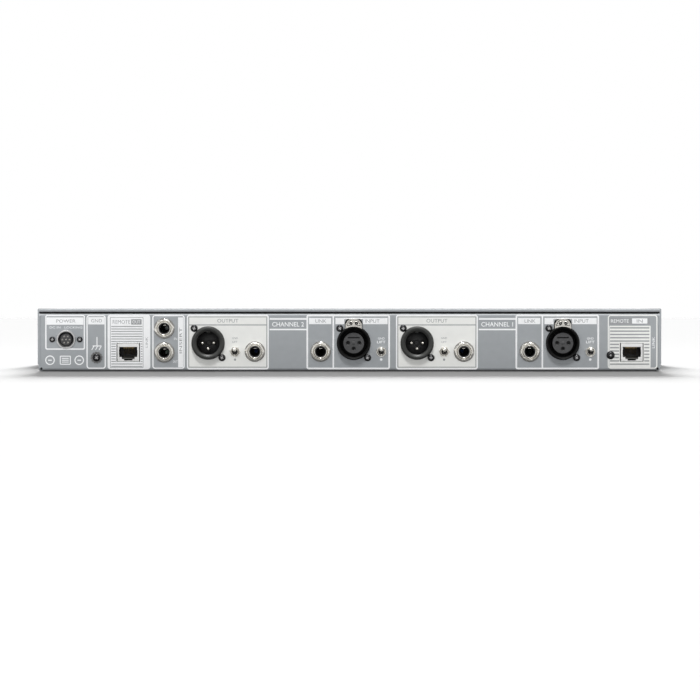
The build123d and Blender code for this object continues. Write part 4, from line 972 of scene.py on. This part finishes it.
for name, (x, z) in KNOB_AT.items():
    at, radius, tip = (x, z), half_width(name), KNOB_GAP + KNOB_HEIGHT
    grip = radius - GRIP_INSET
    knob = Piece(name + "_grip", "knob", name, name, on=FRONT, lift=KNOB_GAP)
    layers = [(fluted(at, radius - inset, dip), height) for inset, height, dip in KNOB_RINGS]
    knob.rings([(circle(at, 3.1, KNOB_STEPS), 0)] + layers)
    knob.lathe(at, [(2.5, -15.5), (2.95, -15.1), (2.95, 0.4), (2.4, 0.4)], 32)
    cap = Piece(name + "_cap", "spun_cap", body=name, on=FRONT, lift=tip)
    disc = [(grip - 2.15, -0.6), (grip - 2.15, -0.2), (grip - 2.4, -0.05), (grip - 3.2, -0.1), (0.4, -0.18)]
    cap.lathe(at, disc, 72)
    pointer = Piece(name + "_pointer", "print_white", None, name, "knob_black", FRONT, tip)
    middle = (x, z + grip - 3.95)
    edge = about(middle, 0.6, 2.45, 0.3)
    pointer.rings([(edge, -0.5), (edge, -0.04), (about(middle, 0.4, 2.25, 0.2), 0)])

BUTTON_PROUD, BUTTON_BACK, STEM_END, STEM_HALF = 3.5, -8.5, -16.5, 1.7
# The square caps by inset, corner radius and height, the round one by radius and height; both are dished.
SQUARE_CAP = ((0, 0.9, BUTTON_BACK), (0, 0.9, -0.55), (0.15, 0.8, -0.2), (0.6, 0.7, 0), (1.4, 1.2, -0.22))
ROUND_CAP = ((6.0, BUTTON_BACK), (6.0, -0.8), (5.8, -0.3), (5.2, 0), (4.4, -0.05), (3.6, -0.3), (0.5, -0.45))
for name in BUTTONS + ["power_button"]:
    button = Piece(name + "_cap", "button", name, name, on=FRONT, lift=BUTTON_PROUD)
    at, half = front_centre(name), half_width(name)
    if name in BUTTONS:
        button.rings([(about(at, half - inset, half - inset, radius), level)
                      for inset, radius, level in SQUARE_CAP])
    else:
        button.lathe(at, ROUND_CAP, 64)
    button.block(about(at, STEM_HALF, STEM_HALF, 0.3), STEM_END, BUTTON_BACK)

# Meter windows with a ladder of small lamps behind each.
LAMP_COUNT, LAMP_PITCH = 10, 2.7
LAMPS = {"led_green": range(0, 7), "led_amber": range(7, 9), "led_red": range(9, 10)}


def lamp_level(step):
    """The height of a lamp of the ladder, counted from the lowest."""
    return METER_MIDDLE + (step - (LAMP_COUNT - 1) / 2) * LAMP_PITCH


glass = Piece("meter_window_panes", "window", "meter_windows", on=FRONT)
for middle in METER_AT:
    pane = about((middle, METER_MIDDLE), METER_HALF, METER_RISE, 0.4)
    lip = about((middle, METER_MIDDLE), METER_HALF - 0.4, METER_RISE - 0.4, 0.4)
    glass.rings([(lip, -4.3), (lip, -2.4), (pane, -2.35), (pane, -0.3), (lip, -0.2)])
for finish, steps in LAMPS.items():
    ladder = Piece("meter_" + finish, finish, on=FRONT)
    for spot in [(middle, lamp_level(step)) for middle in METER_AT for step in steps]:
        bar = about(spot, 3.0, 0.65, 0.3)
        ladder.rings([(bar, -0.4), (bar, -0.16), (about(spot, 2.8, 0.45, 0.25), -0.08)])

# ---------------- printing on the front panel
PANEL_MIDDLE, PANEL_RISE, TITLE_LEVEL = 22.0, 19.0, 38.3
SCALE_MARKS, GAIN_SCALE, LEVEL_SCALE = 21, 13.0, 10.5
LEGEND = Piece("front_legend", "print_white", slot="panel_paint", on=FRONT)


def title(text, x, y, high=1.7, weight=0.01):
    """A title, a little bolder than the small legends."""
    LEGEND.words(text, x, y, high, weight=weight)


def scale_marks(at, radius):
    """Lines round a knob, from seven o'clock to five o'clock, every other one longer."""
    for step in range(SCALE_MARKS):
        turn = radians(240 - 300 * step / (SCALE_MARKS - 1))
        along, across = Vector((cos(turn), sin(turn))), Vector((-sin(turn), cos(turn)))
        reach, half = (1.7, 0.15) if step % 2 else (2.3, 0.22)
        inner, outer = Vector(at) + along * (radius + 0.9), Vector(at) + along * (radius + reach)
        side = across * half
        mark = [tuple(corner) for corner in (inner + side, inner - side, outer - side, outer + side)]
        LEGEND.flat(mark, SUNK, LINE)


for number, start in enumerate((-208.0, -44.0), 1):
    middle = (start + 78.0, PANEL_MIDDLE)
    inner = about(middle, 78.4, PANEL_RISE - 0.6, 1.5)
    LEGEND.flat(about(middle, 79.0, PANEL_RISE, 2.0), SUNK, LINE, [inner])
    for key, text, radius in (("gain_knob_", "GAIN", GAIN_SCALE), ("level_knob_", "LEVEL", LEVEL_SCALE)):
        at = KNOB_AT[key + str(number)]
        title(text, at[0], TITLE_LEVEL)
        scale_marks(at, radius)
    for key, text in (("phantom_button_", "48V"), ("filter_button_", "FILTER")):
        x, z = front_centre(key + str(number))
        title(text, x, z + 7.6)
        LEGEND.words("ON", x, z - 7.4, 1.2)
    x, z = FRONT_JACKS[f"instrument_jack_{number}"]
    title("INST IN", x + 1.0, z + 11.6)
    title(f"CHANNEL {number}", start + 23.0, 6.2, 1.8, 0.012)
    ladder_x = METER_AT[number - 1] - 8.2
    LEGEND.words("dB", ladder_x, 7.0, 1.3)
    for step, text in ((0, "-30"), (3, "-12"), (6, "0"), (9, "+12")):
        LEGEND.words(text, ladder_x, lamp_level(step), 1.15)
x, z = KNOB_AT["phones_knob"]
scale_marks((x, z), LEVEL_SCALE)
title("PHONES", (x + PHONES_JACK) / 2, TITLE_LEVEL)
LEGEND.flat(rounded(x + 13.0, 35.6, PHONES_JACK + 6.0, 36.0), SUNK, LINE)
x, z = front_centre("power_button")
title("POWER", x, z + 9.6)
lamp_at = (x, z - 10.6)
LAMP_DOME = [(1.4, 0.0), (1.4, 0.5), (1.25, 0.85), (0.9, 1.15), (0.4, 1.3)]
LAMP_BEZEL = [(1.4, 0.0), (2.0, 0.0), (2.0, 0.25), (1.8, 0.45), (1.4, 0.45)]
Piece("power_lamp", "led_green", on=FRONT).lathe(lamp_at, LAMP_DOME, 32)
Piece("power_lamp_bezel", "bright_steel", on=FRONT).lathe(lamp_at, LAMP_BEZEL, 40, closed=True)

# Socket-head screws hold the panel; countersunk cross screws hold the cover.
PANEL_SCREWS_AT = [(x, z) for x in (-212.0, 212.0) for z in (9.0, 34.9)]
COVER_SCREWS_AT = [(x, y) for x in (-214.5, 214.5) for y in (-70, 0, 70)]
COVER_SCREWS_AT += [(x, y) for x in (-110, 110) for y in (-94, 94)]
BOLT_HEAD = [(1.6, -1.8), (2.9, -1.8), (2.9, -0.5), (2.7, -0.22), (1.6, -0.2)]
SUNK_HEAD = [
    (1.4, -0.05), (2.6, -0.05), (2.85, -0.12), (1.5, -1.5), (1.5, -5.5), (1.0, -6.0), (0.6, -6.0),
    (0.6, -0.8), (1.4, -0.8)]
panel_bolts = Piece("panel_socket_screws", "black_screw", "panel_screws", on=FRONT)
for at in PANEL_SCREWS_AT:
    panel_bolts.lathe(at, BOLT_HEAD, 40, closed=True)
    panel_bolts.flat(circle(at, 1.6, 40), -1.6, -0.2, [hexagon(at, 2.2, 2.0, 10, 36)])
    panel_bolts.lathe(at, [(0.9, -6.7), (1.45, -6.0), (1.45, -1.6)], 24)
cover_bolts = Piece("cover_cross_screws", "black_screw", "cover_screws", on=TOP)
for x, y in COVER_SCREWS_AT:
    crown = circle((x, y), 1.4, 36)
    cover_bolts.lathe((x, y), SUNK_HEAD, 36, closed=True)
    cover_bolts.flat(crown, -0.75, -0.05, [cross((x, y), 2.5, 25 + x + 3 * y)])
    cover_bolts.flat(crown, -1.2, -0.75)

for draft in Piece.drafts:
    draft.done()

# ---------------- floor and sky
FLOOR_HALF, FLOOR_GREY = 6.0, (0.40, 0.40, 0.40)
floor_mesh = bpy.data.meshes.new("studio_floor")
floor_draft = bmesh.new()
bmesh.ops.create_grid(floor_draft, x_segments=2, y_segments=2, size=FLOOR_HALF)
floor_draft.to_mesh(floor_mesh)
floor_draft.free()
floor = bpy.data.objects.new("studio_floor", floor_mesh)
floor.location.z = CAD_BOX[0].z
show(floor)
floor_material = shader(FLOOR_GREY, 0.0, 0.9)
floor_material.name = "pale_floor"
shader_inputs(floor_material)["Specular IOR Level"].default_value = 0.0
floor_mesh.materials.append(floor_material)

# A pale backdrop beyond the object, a softly lit room before it: grey levels by height, joined by depth.
ROOM = ((0.0, 0.30), (0.47, 0.22), (0.50, 0.32), (0.56, 0.8), (0.60, 0.8), (0.66, 0.3), (1.0, 0.25))
BACKDROP = ((0.0, 0.5), (0.49, 0.9), (0.52, 1.0), (0.7, 0.9), (1.0, 0.9))
SIDES = ((0.0, 0.0), (0.42, 0.05), (0.60, 1.0), (1.0, 1.0))
SKY_STRENGTH = 1.2
world = bpy.data.worlds.new("studio")
bpy.context.scene.world = world
world.use_nodes = True
sky = world.node_tree


def sky_band(value, stops):
    """Grey levels along a value from -1 to 1, each stop (position from 0 to 1, level)."""
    share = add(sky, "ShaderNodeMapRange", {"Value": value, "From Min": -1}).outputs["Result"]
    band = add(sky, "ShaderNodeValToRGB", {"Fac": share})
    for position, _ in stops[1:-1]:
        band.color_ramp.elements.new(position)
    for element, (position, level) in zip(band.color_ramp.elements, stops):
        element.position = position
        element.color = (level, level, level, 1)
    return band.outputs["Color"]


facing = sky.nodes.new("ShaderNodeTexCoord").outputs["Generated"]
split = add(sky, "ShaderNodeSeparateXYZ", {"Vector": facing}).outputs
room, backdrop = sky_band(split["Z"], ROOM), sky_band(split["Z"], BACKDROP)
studio = blend(sky, sky_band(split["Y"], SIDES), room, backdrop)
# The lens itself sees plain white behind the object.
seen = sky.nodes.new("ShaderNodeLightPath").outputs["Is Camera Ray"]
plain = 1 / SKY_STRENGTH
background = sky.nodes["Background"].inputs
sky.links.new(blend(sky, seen, studio, (plain, plain, plain, 1)), background["Color"])
background["Strength"].default_value = SKY_STRENGTH

# ---------------- lights
WASH_RISE, BEND_RISE = radians(14), radians(70)
CASTERS = ("chassis_tray", "top_cover", "input_connector", "output_connector", "input_latch")


def light(name, kind, power, towards, track="-Z"):
    """A light whose track axis points along a direction."""
    data = bpy.data.lights.new(name, kind)
    data.energy = power
    holder = bpy.data.objects.new(name, data)
    holder.rotation_euler = Vector(towards).to_track_quat(track, "Y").to_euler()
    show(holder)
    return holder


def softbox(name, place, aim, size, power):
    """A rectangular area light at place, facing aim."""
    holder = light(name, "AREA", power, Vector(aim) - Vector(place))
    holder.location = place
    holder.data.shape = "RECTANGLE"
    holder.data.size, holder.data.size_y = size
    return holder


WALL_FOOT = (0, -0.1, 0.02)
softbox("left_bank", (-1.3, -1.3, 1.1), WALL_FOOT, (0.5, 0.5), 1.5)
softbox("rim_strip", (0, 0.25, 1.1), (0, -0.1, 0.04), (1.4, 0.2), 2)
# A low fill in front of the wall, and a strip above it that shows in bare metal alone.
softbox("front_fill", (0, -3.2, 0.55), WALL_FOOT, (2.4, 0.5), 10).visible_glossy = False
softbox("metal_glint", (0, -1.6, 1.3), WALL_FOOT, (1.8, 0.35), 14).visible_diffuse = False
# A soft light from high above brings out the bend along the wall's top; the case and connectors block it.
bend_light = light("bend_light", "SUN", 2.6, (0, -cos(BEND_RISE), sin(BEND_RISE)), "Z")
bend_light.data.angle = radians(10)
lit, shading = bpy.data.collections.new("bend_lit"), bpy.data.collections.new("bend_shading")
for item in bpy.data.objects:
    if item.type == "MESH" and item is not floor:
        lit.objects.link(item)
        if item.name.startswith(CASTERS):
            shading.objects.link(item)
bend_light.light_linking.receiver_collection, bend_light.light_linking.blocker_collection = lit, shading
# A wash over the floor from behind throws the shadow forward.
wash = light("floor_wash", "SUN", 22.0, (0, -cos(WASH_RISE), -sin(WASH_RISE)))
wash.data.angle = radians(13)
washed = bpy.data.collections.new("washed_floor")
washed.objects.link(floor)
wash.light_linking.receiver_collection = washed

# ---------------- camera, nearly level, with the case over a share of the picture's width
SENSOR, CASE_SHARE = 36.0, 0.8882
CAMERA_DISTANCE, CAMERA_HEIGHT, CAMERA_SIDE, AIM_HEIGHT = 2.0, 0.050, 0.0004, 0.0151
camera = bpy.data.cameras.new("camera")
camera.sensor_width = SENSOR
camera.lens = SENSOR * CASE_SHARE * CAMERA_DISTANCE / (2 * HALF_WIDTH * MM)
eye = bpy.data.objects.new("camera", camera)
eye.location = (CAMERA_SIDE, WALL_Y * MM - CAMERA_DISTANCE, CAMERA_HEIGHT)
aim = Vector((CAMERA_SIDE, WALL_Y * MM, AIM_HEIGHT))
eye.rotation_euler = (aim - eye.location).to_track_quat("-Z", "Y").to_euler()
show(eye)
bpy.context.scene.camera = eye
bpy.context.scene.view_settings.view_transform = "Standard"
